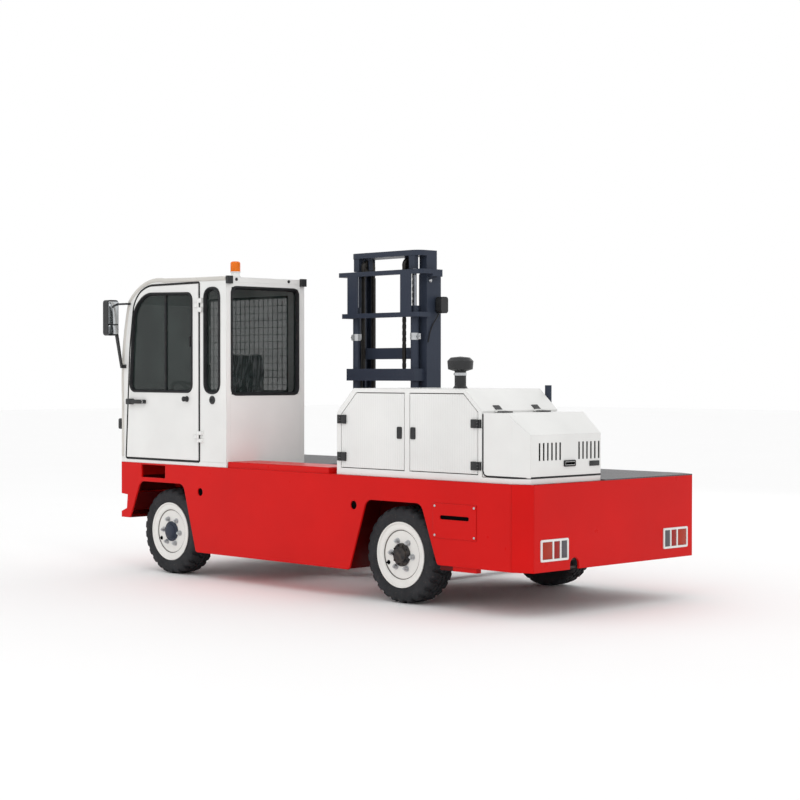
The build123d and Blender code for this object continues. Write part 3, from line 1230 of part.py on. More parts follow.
# Inner mast: channels that run inside the outer ones, a top bar with the rod heads, and a cross plate
RUN_GAP = 9
FLANGE_GAP = 8
INNER_HALF = CHANNEL_HALF - CHANNEL_WALL - RUN_GAP
INNER_V = (CHANNEL_V + CHANNEL_WALL + FLANGE_GAP, CHANNEL_FRONT_V - CHANNEL_WALL - FLANGE_GAP)
INNER_FLANGE_IN = CHANNEL_HALF - 103
INNER_FOOT_Z = MAST_FOOT_Z + 70
TOP_BAR_Z = (INNER_TOP - 43, INNER_TOP)
TOP_BAR_LEAD = 25
TOP_BAR_ROUND = 70
ROD_HEAD_GAP = 8
ROD_HEAD_Z = (TIES[0][3] + ROD_HEAD_GAP, TOP_BAR_Z[0])
ROD_HEAD = (CYLINDER_HALF - 45, CYLINDER_HALF + 17)
ROD_HEAD_V = (CYLINDER_V - 20, CYLINDER_V + 22)
CROSS_Z = (OUTER_TOP - 667, OUTER_TOP - 577)
CROSS_V = (INNER_V[0] - 12, INNER_V[0] + 4)
CROSS_HALF = INNER_FLANGE_IN + FLANGE_GAP
CHEEK = (20, 32)
CHEEK_HALF = 20

with BuildPart() as inner_mast:
    inner_z = (INNER_FOOT_Z, TOP_BAR_Z[0])
    mast_block((INNER_FLANGE_IN, INNER_HALF), INNER_V, inner_z)
    inner_groove_v = (INNER_V[0] + CHANNEL_WALL, INNER_V[1] - CHANNEL_WALL)
    mast_block((INNER_FLANGE_IN, INNER_HALF - CHANNEL_WALL), inner_groove_v, inner_z, Mode.SUBTRACT)
    bar_left, bar_right = around(MAST_U, INNER_HALF)
    top_shape(
        [
            (bar_left, CYLINDER_V - TOP_BAR_LEAD, TOP_BAR_ROUND),
            (bar_right, CYLINDER_V - TOP_BAR_LEAD, TOP_BAR_ROUND),
            (bar_right, INNER_V[1]),
            (bar_left, INNER_V[1]),
        ],
        TOP_BAR_Z,
    )
    mast_block(ROD_HEAD, ROD_HEAD_V, ROD_HEAD_Z)
    block(around(MAST_U, CROSS_HALF), CROSS_V, CROSS_Z)
    cheek_z = (SHEAVE_Z - CHEEK_HALF, TOP_BAR_Z[0])
    for low, high in (CHEEK, (-CHEEK[1], -CHEEK[0])):
        mast_block((SHEAVE_HALF + low, SHEAVE_HALF + high), around(SHEAVE_V, CHEEK_HALF), cheek_z)
keep(inner_mast, "inner_mast")

ROD_FOOT_Z = 500

with BuildPart() as lift_rods:
    for side in (-1, 1):
        post(MAST_U + side * CYLINDER_HALF, CYLINDER_V, ROD_R, (ROD_FOOT_Z, ROD_HEAD_Z[0]))
keep(lift_rods, "lift_rods")

# Chains: over a sheave below the top bar, down to the low beam behind and to the fork carriage in front
SHEAVE_R = 50
CHAIN = 10
CHAIN_HALF_W = 14
SHEAVE_FLANGE = 3.5
SHEAVE_FLANGE_R = SHEAVE_R + CHAIN + 2
SHEAVE_PIN_R = 12
SHEAVE_HOLES = 5
SHEAVE_HOLE_R = 8
SHEAVE_HOLE_PITCH_R = 32
CHAIN_BACK_Z = ANCHOR_Z[1]
CHAIN_FRONT_Z = FORK_PLATE_Z[1] + 10

with BuildPart() as lift_chains:
    for side in (-1, 1):
        chain_u = MAST_U + side * SHEAVE_HALF
        wide = around(chain_u, CHAIN_HALF_W)
        round_along_u(SHEAVE_V, SHEAVE_Z, SHEAVE_R + CHAIN, wide)
        for flank in (-1, 1):
            flange_span = (chain_u + flank * CHAIN_HALF_W, chain_u + flank * (CHAIN_HALF_W + SHEAVE_FLANGE))
            round_along_u(SHEAVE_V, SHEAVE_Z, SHEAVE_FLANGE_R, sorted(flange_span))
        sheave_side = (REAR_X + wide[0] - SHEAVE_FLANGE, LEFT_Y - SHEAVE_V, SHEAVE_Z)
        with BuildSketch(Plane(origin=sheave_side, x_dir=(0, 1, 0), z_dir=(1, 0, 0))):
            with PolarLocations(SHEAVE_HOLE_PITCH_R, SHEAVE_HOLES):
                Circle(SHEAVE_HOLE_R)
        extrude(amount=2 * (CHAIN_HALF_W + SHEAVE_FLANGE), mode=Mode.SUBTRACT)
        round_along_u(SHEAVE_V, SHEAVE_Z, SHEAVE_PIN_R, around(chain_u, CHEEK[0]))
        block(wide, (SHEAVE_V - SHEAVE_R - CHAIN, SHEAVE_V - SHEAVE_R), (CHAIN_BACK_Z, SHEAVE_Z))
        block(wide, (SHEAVE_V + SHEAVE_R, SHEAVE_V + SHEAVE_R + CHAIN), (CHAIN_FRONT_Z, SHEAVE_Z))
keep(lift_chains, "lift_chains")

# Tilt rams between the carriage and the outer mast
RAM_R = 26
RAM_ROD_R = 13
RAM_EYE_R = 22
RAM_EYE_HALF = 18
EYE_FIT = 3
BARREL_SHARE = 0.53
BARREL_FLOOR = 60
ROD_START_SHARE = 0.19
TILT_LINE = Vector(0, TILT_BASE[0] - TILT_EYE[0], TILT_EYE[1] - TILT_BASE[1])
TILT_LENGTH = TILT_LINE.length
BARREL_LENGTH = TILT_LENGTH * BARREL_SHARE
ROD_START = TILT_LENGTH * ROD_START_SHARE


def ram_plane(side, along):
    """The plane across a ram at a distance from its foot."""
    foot = (REAR_X + MAST_U + side * TILT_HALF, LEFT_Y - TILT_BASE[0], TILT_BASE[1])
    return Plane(origin=foot, x_dir=(1, 0, 0), z_dir=TILT_LINE).offset(along)


def ram_round(side, radius, start, length, mode=Mode.ADD):
    with BuildSketch(ram_plane(side, start)) as across:
        Circle(radius)
    extrude(across.sketch, amount=length, mode=mode)


with BuildPart() as tilt_barrels:
    for side in (-1, 1):
        ram_u = MAST_U + side * TILT_HALF
        ram_round(side, RAM_R, 0, BARREL_LENGTH)
        ram_round(side, RAM_ROD_R + ROD_FIT, BARREL_FLOOR, BARREL_LENGTH - BARREL_FLOOR, Mode.SUBTRACT)
        round_along_u(*TILT_BASE, RAM_EYE_R, around(ram_u, RAM_EYE_HALF))
        round_along_u(*TILT_BASE, TILT_PIN_R + PIN_FIT, around(ram_u, EAR[0]), Mode.SUBTRACT)
keep(tilt_barrels, "tilt_barrels")

with BuildPart() as tilt_rods:
    for side in (-1, 1):
        ram_u = MAST_U + side * TILT_HALF
        ram_round(side, RAM_ROD_R, ROD_START, TILT_LENGTH - ROD_START)
        round_along_u(*TILT_EYE, RAM_EYE_R, around(ram_u, RAM_EYE_HALF))
        round_along_u(*TILT_EYE, TILT_PIN_R + EYE_FIT, around(ram_u, EAR[0]), Mode.SUBTRACT)
keep(tilt_rods, "tilt_rods")

# Fork carriage: side plates with rollers in the inner channels, and two fork bars
FORK_PLATE_HALF = (INNER_FLANGE_IN - 25, INNER_FLANGE_IN - 5)
FORK_BAR_V = (CHANNEL_V + 210, CHANNEL_V + 245)
FORK_PLATE_V = (INNER_V[0] + 10, FORK_BAR_V[0])
FORK_BAR_HALF = CHANNEL_HALF - 8
FORK_BARS_Z = [(140, 200), (560, 620)]
SHELF_DEEP = 60
SHELF_THICK = 20
FORK_ROLLERS_Z = [260, 560]
FORK_ROLLER_R = (INNER_V[1] - INNER_V[0]) / 2 - CHANNEL_WALL - HAIR
FORK_ROLLER_HALF = (INNER_FLANGE_IN + CHANNEL_WALL, INNER_HALF - CHANNEL_WALL - FLANGE_GAP)
FORK_AXLE_R = 16
INNER_MID_V = sum(INNER_V) / 2

with BuildPart() as fork_carriage:
    mast_block(FORK_PLATE_HALF, FORK_PLATE_V, FORK_PLATE_Z)
    for bar_z in FORK_BARS_Z:
        block(around(MAST_U, FORK_BAR_HALF), FORK_BAR_V, bar_z)
        shelf_v = (FORK_BAR_V[0] - SHELF_DEEP, FORK_BAR_V[0])
        block(around(MAST_U, FORK_PLATE_HALF[0]), shelf_v, (bar_z[0], bar_z[0] + SHELF_THICK))
    for side in (-1, 1):
        for roller_z in FORK_ROLLERS_Z:
            round_along_u(INNER_MID_V, roller_z, FORK_ROLLER_R, from_mast(side, *FORK_ROLLER_HALF))
            axle_span = from_mast(side, FORK_PLATE_HALF[0], FORK_ROLLER_HALF[1])
            round_along_u(INNER_MID_V, roller_z, FORK_AXLE_R, axle_span)
keep(fork_carriage, "fork_carriage")

# Forks: a shank on the bars and a blade that thins out to its tip
FORK_HALF = CHANNEL_HALF - 113
FORK_HALF_W = 60
FORK_THICK = 40
FORK_LOW = 80
FORK_TIP = 12
FORK_FLAT = 200
FORK_HEEL_ROUND = 25
FORK_SECTION = [
    (FORK_BAR_V[1], FORK_BARS_Z[1][1]),
    (FORK_BAR_V[1], FORK_LOW, FORK_HEEL_ROUND),
    (FORK_TIP_V, FORK_LOW),
    (FORK_TIP_V, FORK_LOW + FORK_TIP),
    (FORK_BAR_V[1] + FORK_FLAT, FORK_LOW + FORK_THICK),
    (FORK_BAR_V[1] + FORK_THICK, FORK_LOW + FORK_THICK),
    (FORK_BAR_V[1] + FORK_THICK, FORK_BARS_Z[1][1]),
]

with BuildPart() as forks:
    for side in (-1, 1):
        fork_u = around(MAST_U + side * FORK_HALF, FORK_HALF_W)
        fork_side = Plane.YZ.offset(REAR_X + fork_u[0])
        face = outline_face(fork_side, [(LEFT_Y - v, *rest) for v, *rest in FORK_SECTION])
        extrude(face, amount=2 * FORK_HALF_W)
keep(forks, "forks")
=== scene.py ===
"""Looks of the side loader forklift: materials, fittings, stage, light and camera."""

import json
import math

import bmesh
import bpy
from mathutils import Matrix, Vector


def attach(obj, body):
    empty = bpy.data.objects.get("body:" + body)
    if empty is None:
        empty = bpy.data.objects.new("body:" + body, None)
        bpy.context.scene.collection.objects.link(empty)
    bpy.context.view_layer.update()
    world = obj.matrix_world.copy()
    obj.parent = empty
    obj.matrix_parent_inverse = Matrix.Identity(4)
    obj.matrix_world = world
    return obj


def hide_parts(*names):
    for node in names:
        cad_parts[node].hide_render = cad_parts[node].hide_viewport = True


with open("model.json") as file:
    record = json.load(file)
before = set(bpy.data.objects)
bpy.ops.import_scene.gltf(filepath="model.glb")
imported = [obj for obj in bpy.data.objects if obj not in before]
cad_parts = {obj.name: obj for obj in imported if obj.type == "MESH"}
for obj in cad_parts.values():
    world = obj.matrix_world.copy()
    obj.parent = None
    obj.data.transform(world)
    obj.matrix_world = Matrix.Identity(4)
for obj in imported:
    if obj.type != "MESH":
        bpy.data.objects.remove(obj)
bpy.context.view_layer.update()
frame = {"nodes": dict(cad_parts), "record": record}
nodes = frame["nodes"]

# Places are given as u forward from the rear plate, v right from the left plate and z up, in millimetres.
REAR_X = -2296.0
LEFT_Y = 1130.0
WIDTH = 1912
FRONT_AXLE_U = 3944
REAR_AXLE_U = 1257
WHEEL_V = 170
TYRE_R = 350
MAST_U = 2400
CAB_REAR = 3145
SEAT_V = 420

LEFT = (0, 1, 0)
BACK = (-1, 0, 0)
FORWARD = (1, 0, 0)
UP = (0, 0, 1)


def at(u, v, z):
    return Vector(((REAR_X + u) / 1000, (LEFT_Y - v) / 1000, z / 1000))


def linear(red, green, blue):
    """A colour given in display values of 0 to 255, as linear light."""

    def one(value):
        value /= 255
        return value / 12.92 if value <= 0.04045 else ((value + 0.055) / 1.055) ** 2.4

    return (one(red), one(green), one(blue), 1.0)


def shade(colour, factor):
    return tuple(min(1.0, c * factor) for c in colour[:3]) + (1.0,)


# Materials. Lengths in their nodes are in metres.


class Shader:
    """A principled material with short calls for its nodes."""

    def __init__(self, name, **sockets):
        self.material = bpy.data.materials.new(name)
        self.material.use_nodes = True
        self.tree = self.material.node_tree
        self.bsdf = self.tree.nodes["Principled BSDF"]
        self.place = self.add("TexCoord").outputs["Object"]
        for socket, value in sockets.items():
            self.bsdf.inputs[socket.replace("_", " ")].default_value = value

    def add(self, kind, inputs=None, **settings):
        made = self.tree.nodes.new("ShaderNode" + kind)
        for key, value in settings.items():
            setattr(made, key, value)
        for key, value in (inputs or {}).items():
            if isinstance(value, bpy.types.NodeSocket):
                self.tree.links.new(value, made.inputs[key])
            else:
                made.inputs[key].default_value = value
        return made

    def noise(self, scale, detail=3.0):
        inputs = {"Vector": self.place, "Scale": scale, "Detail": detail, "Roughness": 0.55}
        return self.add("TexNoise", inputs).outputs["Fac"]

    def ramp(self, value, low, high, to_low=0.0, to_high=1.0):
        inputs = {"Value": value, "From Min": low, "From Max": high, "To Min": to_low, "To Max": to_high}
        return self.add("MapRange", inputs).outputs["Result"]

    def mottle(self, scale, to_low=0.0, to_high=1.0, detail=3.0):
        """Noise spread over most of the range between two values."""
        return self.ramp(self.noise(scale, detail), 0.3, 0.7, to_low, to_high)

    def math(self, kind, first, second=0.0):
        return self.add("Math", {0: first, 1: second}, operation=kind).outputs[0]

    def mix(self, factor, first, second):
        return self.add("Mix", {0: factor, 6: first, 7: second}, data_type="RGBA").outputs[2]

    def split(self):
        return self.add("SeparateXYZ", {0: self.place}).outputs

    def true_normal(self):
        return self.add("NewGeometry").outputs["Normal"]

    def soft_edges(self, radius):
        return self.add("Bevel", {"Radius": radius}, samples=3).outputs[0]

    def link(self, value, socket):
        self.tree.links.new(value, self.bsdf.inputs[socket])

    def bump(self, height, strength, distance, normal=None):
        inputs = {"Height": height, "Strength": strength, "Distance": distance}
        if normal is not None:
            inputs["Normal"] = normal
        return self.add("Bump", inputs).outputs["Normal"]


DUST = linear(128, 116, 104)
PAINTED_WRAP_SHEEN = linear(224, 227, 232)
# middle and half length of each wheel arch along the truck, and the height that the painted arch shade
# reaches
ARCHES_U = [(REAR_AXLE_U, 560), (FRONT_AXLE_U, 497)]
ARCH_TOP = 785
# depths behind the outer faces of the side plates between which the painted arch shade starts
ARCH_SHADE_IN = (12.5, 14.5)
# u between which only faces that look back are inside the front plate
FRONT_INSIDE_U = (4430, 4524)


def arch_shade_mask(s):
    """The mask of painted shade in the wheel arches: 1 on surfaces inside the side plates, near the wheels
    and below the arch tops.
    """
    x, y, z = s.split()
    aside = s.math("ABSOLUTE", s.math("SUBTRACT", y, at(0, WIDTH / 2, 0).y))
    within = s.ramp(aside, *[(WIDTH / 2 - depth) / 1000 for depth in ARCH_SHADE_IN])
    near = []
    for u, half in ARCHES_U:
        away = s.math("ABSOLUTE", s.math("SUBTRACT", x, at(u, 0, 0).x))
        near.append(s.ramp(away, half / 1000 + 0.006, half / 1000))
    facing = s.add("SeparateXYZ", {0: s.true_normal()}).outputs[0]
    first, last = (at(u, 0, 0).x for u in FRONT_INSIDE_U)
    span = s.math("MULTIPLY", s.ramp(x, first, first + 0.002), s.ramp(x, last, last - 0.002))
    inner = s.math("MULTIPLY", span, s.ramp(facing, -0.2, -0.4))
    along = s.math("MAXIMUM", s.math("ADD", *near), inner)
    low = s.ramp(z, ARCH_TOP / 1000 + 0.005, ARCH_TOP / 1000)
    return s.math("MULTIPLY", s.math("MULTIPLY", within, along), low)


def paint(name, colour, rough, coat, dirt, edge=0.0025, gloss=0.25, ribs=None, worn=None, under=None):
    """Sprayed paint: slow tone changes, orange peel, soft edges, road dust low down, and painted shade in
    the wheel arches and in pressed lines.

    ribs is the pitch of pressed lines, which are painted darker as shade; worn the colour of rubbed edges;
    under the colour of painted shade inside the wheel arches.
    """
    s = Shader(name, Coat_Weight=coat, Coat_Roughness=0.12, Specular_IOR_Level=gloss)
    flat = s.mix(s.mottle(1.7), shade(colour, 0.94), shade(colour, 1.04))
    low = s.ramp(s.split()[2], 0.75, 0.2)
    speck = s.ramp(s.noise(22, 6), 0.42, 0.72)
    grime = s.math("MULTIPLY", s.math("MULTIPLY", low, speck), dirt)
    final = s.mix(grime, flat, DUST)
    # painted shade: inside the wheel arches the paint turns to the dark under colour
    if under:
        final = s.mix(arch_shade_mask(s), final, under)
    rounded = s.soft_edges(edge)
    if worn:
        pair = {0: rounded, 1: s.true_normal()}
        turn = s.add("VectorMath", pair, operation="DOT_PRODUCT").outputs["Value"]
        rub = s.math("MULTIPLY", s.ramp(turn, 0.96, 0.8), s.ramp(s.noise(30, 5), 0.5, 0.62))
        final = s.mix(s.math("MULTIPLY", rub, 0.7), final, worn)
    s.link(s.ramp(s.noise(9, 5), 0.25, 0.75, rough - 0.06, rough + 0.1), "Roughness")
    grain = s.bump(s.noise(260, 2), 0.04, 0.001, rounded)
    if ribs:
        wave = s.math("SINE", s.math("MULTIPLY", s.split()[0], 2 * math.pi / ribs))
        line = s.ramp(wave, 0.72, 1.0)
        grain = s.bump(s.math("MULTIPLY", line, -1.0), 0.55, 0.002, grain)
        # the pressed lines are also painted darker, as painted shade in the creases
        final = s.mix(s.math("MULTIPLY", line, 0.22), final, shade(colour, 0.72))
    s.link(final, "Base Color")
    s.link(grain, "Normal")
    return s.material


def plastic(name, colour, rough, gloss=0.5):
    """Moulded plastic with a fine grain."""
    s = Shader(name, Specular_IOR_Level=gloss)
    s.link(s.mix(s.mottle(12), shade(colour, 0.8), shade(colour, 1.25)), "Base Color")
    s.link(s.mottle(40, rough - 0.08, rough + 0.1), "Roughness")
    s.link(s.bump(s.noise(400, 2), 0.25, 0.0006, s.soft_edges(0.0015)), "Normal")
    return s.material


def metal(name, colour, rough, streak=0.15, grain=0.08):
    """Bare or plated metal, streaked in its gloss."""
    s = Shader(name, Metallic=1.0)
    s.link(s.mix(s.mottle(25), shade(colour, 0.82), shade(colour, 1.05)), "Base Color")
    s.link(s.mottle(60, rough, rough + streak, 5), "Roughness")
    s.link(s.bump(s.noise(500), grain, 0.0004), "Normal")
    return s.material


def rubber(name, colour, rough=0.72):
    """Tyre rubber: dark, with dry dust where it is uneven."""
    s = Shader(name, Specular_IOR_Level=0.25)
    base = s.mix(s.mottle(7), shade(colour, 0.75), shade(colour, 1.3))
    s.link(s.mix(s.ramp(s.noise(60, 6), 0.56, 0.8, 0.0, 0.25), base, DUST), "Base Color")
    s.link(s.mottle(30, rough - 0.1, rough + 0.12, 4), "Roughness")
    s.link(s.bump(s.noise(180, 5), 0.2, 0.0012), "Normal")
    return s.material


def tinted(name, colour, alpha):
    """Window glass with a film of dust and a little unevenness."""
    s = Shader(name, Alpha=alpha, Specular_IOR_Level=0.2)
    s.link(s.mix(s.ramp(s.noise(3, 4), 0.45, 0.75), colour, shade(colour, 1.8)), "Base Color")
    s.link(s.ramp(s.noise(18, 5), 0.4, 0.8, 0.02, 0.1), "Roughness")
    s.link(s.bump(s.noise(1.6, 1), 0.05, 0.01), "Normal")
    s.material.surface_render_method = "BLENDED"
    return s.material


TEAR_PITCH = 0.034
# how fast a tear ends, along it and across it, so that a larger number is a smaller tear
TEAR_LENGTHWISE = 1.7
TEAR_CROSSWISE = 5.2


def chequer(name, colour):
    """Tread plate: a raised tear in each square, turned the other way from its neighbours."""
    s = Shader(name, Metallic=0.25)
    cells = [s.math("DIVIDE", axis, TEAR_PITCH) for axis in s.split()[:2]]
    part = [s.math("SUBTRACT", s.math("FRACT", c), 0.5) for c in cells]
    parity = s.math("MODULO", s.math("ADD", *[s.math("FLOOR", c) for c in cells]), 2.0)
    turn = s.math("SUBTRACT", s.math("MULTIPLY", s.math("ABSOLUTE", parity), 2.0), 1.0)
    cross = s.math("MULTIPLY", turn, part[1])
    along = s.math("MULTIPLY", s.math("ADD", part[0], cross), TEAR_LENGTHWISE)
    across = s.math("MULTIPLY", s.math("SUBTRACT", part[0], cross), TEAR_CROSSWISE)
    squares = [s.math("POWER", s.math("ABSOLUTE", way), 2.0) for way in (along, across)]
    tear = s.ramp(s.math("ADD", *squares), 1.0, 0.45)
    dirt = s.ramp(s.noise(5, 6), 0.35, 0.7)
    flat = s.mix(dirt, shade(colour, 0.75), shade(colour, 1.1))
    s.link(s.mix(tear, flat, shade(colour, 1.45)), "Base Color")
    s.link(s.ramp(tear, 0.0, 1.0, 0.55, 0.34), "Roughness")
    s.link(s.bump(tear, 0.9, 0.003, s.bump(s.noise(200), 0.1, 0.001)), "Normal")
    return s.material


def lens(name, colour, glow):
    """Lamp plastic with moulded ribs."""
    s = Shader(name, Coat_Weight=0.1, Specular_IOR_Level=0.2, Emission_Strength=glow)
    tone = s.mix(s.mottle(15), shade(colour, 0.85), colour)
    s.link(tone, "Base Color")
    s.link(tone, "Emission Color")
    s.link(s.mottle(80, 0.15, 0.25), "Roughness")
    ribs = s.math("SINE", s.math("MULTIPLY", s.split()[2], 900.0))
    s.link(s.bump(ribs, 0.4, 0.0015), "Normal")
    return s.material


def cover(name, colour):
    """Seat trim under a thin plastic wrap, with creased folds whose glossy sheen is painted into the colour
    as light streaks.
    """
    s = Shader(name, Coat_Weight=1.0, Coat_Roughness=0.08, Specular_IOR_Level=0.6)
    lie = {"Vector": s.place, "Scale": (3.0, 9.0, 1.6), "Rotation": (0.5, 0.2, 0.3)}
    stretch = s.add("Mapping", lie).outputs[0]
    creases = {"Vector": stretch, "Scale": 4.0, "Detail": 6.0, "Distortion": 1.2}
    fold = s.add("TexNoise", creases).outputs["Fac"]
    # painted highlight: light streaks along the folds are mixed into the base colour
    sheen = s.math("MULTIPLY", s.ramp(fold, 0.48, 0.66), 0.8)
    weave = s.mix(s.noise(420, 2), shade(colour, 0.6), shade(colour, 1.4))
    s.link(s.mix(sheen, weave, PAINTED_WRAP_SHEEN), "Base Color")
    s.link(s.mottle(20, 0.2, 0.5, 4), "Roughness")
    s.link(s.bump(s.math("ADD", fold, s.noise(24, 5)), 0.6, 0.006), "Normal")
    return s.material


RED = linear(206, 12, 9)
# dark red painted inside the wheel arches as their shade
ARCH_PAINTED_SHADE = linear(88, 10, 10)
WHITE = linear(229, 229, 227)
# greyer white painted on the cab's rounded edges as their shade
EDGE_SHADE_WHITE = linear(203, 200, 194)
RIM_WHITE = linear(234, 233, 229)
SLATE = linear(50, 57, 71)
RUBBED_SLATE = linear(120, 124, 132)
BLACK = linear(26, 27, 29)
TINT = linear(34, 42, 40)

# red paint, with painted shade in its wheel arches
RED_PAINT = paint("red_paint", RED, rough=0.32, coat=0.02, dirt=0.0, edge=0.008, gloss=0.12, under=ARCH_PAINTED_SHADE)
WHITE_PAINT = paint("white_paint", WHITE, rough=0.33, coat=0.15, dirt=0.05, edge=0.005)
EDGE_SHADE_PAINT = paint("edge_shade_paint", EDGE_SHADE_WHITE, rough=0.36, coat=0.1, dirt=0.05, edge=0.005)
RIBBED_WHITE = paint("ribbed_white_paint", WHITE, rough=0.36, coat=0.12, dirt=0.05, ribs=0.0225)
SLATE_PAINT = paint("slate_paint", SLATE, rough=0.42, coat=0.03, dirt=0.06, gloss=0.18, worn=RUBBED_SLATE)
RIM_PAINT = paint("rim_paint", RIM_WHITE, rough=0.4, coat=0.08, dirt=0.06)
AXLE_PAINT = paint("axle_black", linear(34, 34, 36), rough=0.5, coat=0.05, dirt=0.35)
DECK = chequer("deck_grey", linear(76, 75, 78))
TYRE = rubber("tyre", linear(40, 41, 44))
SEAL = rubber("seal_rubber", linear(24, 25, 28), rough=0.55)
TRIM = plastic("black_plastic", BLACK, rough=0.45)
GLASS = tinted("glass", TINT, alpha=0.44)
DOOR_GLASS = tinted("door_glass", TINT, alpha=0.78)
MIRROR_GLASS = metal("mirror_glass", linear(214, 218, 222), rough=0.03, streak=0.04, grain=0.004)
CHROME = metal("rod_chrome", linear(150, 153, 160), rough=0.12, streak=0.08)
ZINC = metal("zinc_steel", linear(196, 198, 200), rough=0.3)
CHAIN = metal("chain_steel", linear(62, 60, 58), rough=0.42)
AMBER = lens("beacon_lens", linear(228, 112, 12), glow=0.06)
LENS_RED = lens("lens_red", linear(158, 22, 16), glow=0.02)
LENS_AMBER = lens("lens_amber", linear(172, 46, 20), glow=0.02)
LENS_CLEAR = lens("lens_clear", linear(92, 88, 94), glow=0.0)
SEAT = cover("seat_cover", linear(44, 46, 52))
# near black: painted shade in openings, holes and louvres, and the black of the valve stems
OPENING_SHADE_AND_BLACK = plastic("opening_shade_and_black", linear(10, 10, 11), rough=0.8, gloss=0.0)
# grey ring on the rim's disc: painted shade at the step where the disc sinks in
RIM_GROOVE_SHADE = plastic("rim_groove_shade", linear(112, 109, 104), rough=0.7)

BY_SLOT = {
    "red_paint": RED_PAINT,
    "white_paint": WHITE_PAINT,
    "slate_paint": SLATE_PAINT,
    "deck_grey": DECK,
    "axle_black": AXLE_PAINT,
    "rim_paint": RIM_PAINT,
    "tyre": TYRE,
    "glass": GLASS,
    "black_plastic": TRIM,
    "seat_cover": SEAT,
    "beacon_lens": AMBER,
    "lamp_lens": LENS_RED,
    "rod_chrome": CHROME,
    "chain_steel": CHAIN,
}
for sub in frame["record"]["subparts"]:
    data = nodes[sub["node"]].data
    data.materials.clear()
    data.materials.append(BY_SLOT[sub["material_slot"]])
for ribbed in ("hood_door_front", "hood_door_rear"):
    nodes[ribbed].data.materials[0] = RIBBED_WHITE
nodes["door_glass"].data.materials[0] = DOOR_GLASS


# Mesh helpers. Sizes are in millimetres.


def piece(name, mesh, material, body, smooth=True):
    data = bpy.data.meshes.new(name)
    bmesh.ops.recalc_face_normals(mesh, faces=mesh.faces)
    mesh.to_mesh(data)
    mesh.free()
    for face in data.polygons:
        face.use_smooth = smooth
    data.materials.append(material)
    made = bpy.data.objects.new(name, data)
    bpy.context.scene.collection.objects.link(made)
    if smooth:
        data.set_sharp_from_angle(angle=math.radians(35))
    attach(made, body)
    return made


def bridge(mesh, rings, closed=True):
    """Faces from each ring of points to the next, and from the last to the first."""
    count = len(rings[0])
    for here, there in zip(rings, rings[1:] + rings[:1]):
        for k in range(count if closed else count - 1):
            j = (k + 1) % count
            mesh.faces.new((here[k], there[k], there[j], here[j]))


def add_box(mesh, u, v, z, edge=0.0, segments=2):
    """A box between two values of each of u, v and z, with rounded edges."""
    low, high = at(u[0], v[1], z[0]), at(u[1], v[0], z[1])
    made = bmesh.ops.create_cube(mesh, size=1.0)["verts"]
    for vert in made:
        vert.co = Vector([low[i] + (vert.co[i] + 0.5) * (high[i] - low[i]) for i in range(3)])
    if edge:
        edges = list({e for vert in made for e in vert.link_edges})
        bmesh.ops.bevel(mesh, geom=edges, offset=edge / 1000, segments=segments, affect="EDGES", profile=0.5)


def add_lathe(mesh, section, centre, axis, segments=32, closed=True):
    """Turn (radius, distance along the axis) points about an axis through centre."""
    axis = Vector(axis).normalized()
    side = axis.orthogonal().normalized()
    up = axis.cross(side)
    rings = []
    for step in range(segments):
        angle = 2 * math.pi * step / segments
        way = side * math.cos(angle) + up * math.sin(angle)
        rings.append([mesh.verts.new(centre + way * (r / 1000) + axis * (d / 1000)) for r, d in section])
    bridge(mesh, rings, closed)
    bmesh.ops.remove_doubles(mesh, verts=[v for ring in rings for v in ring], dist=1e-6)


def add_knob(mesh, section, centre, axis, segments=32):
    """A turned shape whose section is left open, mostly because it starts and ends on the axis."""
    add_lathe(mesh, section, centre, axis, segments, closed=False)


def add_tube(mesh, points, radius, sides=10):
    """A round bar or hose through the points."""
    rings = []
    normal = None
    for i, point in enumerate(points):
        ahead = (points[min(i + 1, len(points) - 1)] - points[max(i - 1, 0)]).normalized()
        if normal is None:
            normal = ahead.orthogonal().normalized()
        normal = (normal - ahead * normal.dot(ahead)).normalized()
        other = ahead.cross(normal)
        ring = []
        for k in range(sides):
            angle = 2 * math.pi * k / sides
            way = normal * math.cos(angle) + other * math.sin(angle)
            ring.append(mesh.verts.new(point + way * (radius / 1000)))
        rings.append(ring)
    for here, there in zip(rings, rings[1:]):
        for k in range(sides):
            mesh.faces.new((here[k], here[(k + 1) % sides], there[(k + 1) % sides], there[k]))
    mesh.faces.new(rings[0])
    mesh.faces.new(rings[-1])


def smooth_path(points, steps):
    """A flowing line through the points."""
    padded = [points[0]] + list(points) + [points[-1]]
    out = []
    for a, b, c, d in zip(padded, padded[1:], padded[2:], padded[3:]):
        for k in range(steps):
            t = k / steps
            bend = (2 * a - 5 * b + 4 * c - d) * t * t + (3 * b - a - 3 * c + d) * t ** 3
            out.append(0.5 * (2 * b + (c - a) * t + bend))
    out.append(points[-1].copy())
    return out


def corners(points):
    """Each corner of an outline, the ways to its two neighbours and half the angle between them."""
    for i, point in enumerate(points):
        here = Vector(point)
        before = (Vector(points[i - 1]) - here).normalized()
        after = (Vector(points[(i + 1) % len(points)]) - here).normalized()
        yield here, before, after, before.angle(after) / 2


def rounded_loop(points, radius, steps):
    """The outline with a smooth curve at each corner, a little tighter than an arc."""
    out = []
    for here, before, after, half in corners(points):
        cut = radius / math.tan(half)
        start, end = here + before * cut, here + after * cut
        for k in range(steps + 1):
            t = k / steps
            out.append((1 - t) ** 2 * start + 2 * t * (1 - t) * here + t * t * end)
    return out


def arc_loop(points, radii, steps=8):
    """The outline with a true arc of its own radius at each corner."""
    out = []
    for (here, before, after, half), radius in zip(corners(points), radii):
        cut = radius / math.tan(half)
        middle = here + (before + after).normalized() * (radius / math.sin(half))
        start, end = here + before * cut - middle, here + after * cut - middle
        sweep = start.angle_signed(end)
        for k in range(steps + 1):
            turn = -sweep * k / steps
            cos, sin = math.cos(turn), math.sin(turn)
            out.append(middle + Vector((start.x * cos - start.y * sin, start.x * sin + start.y * cos)))
    return out


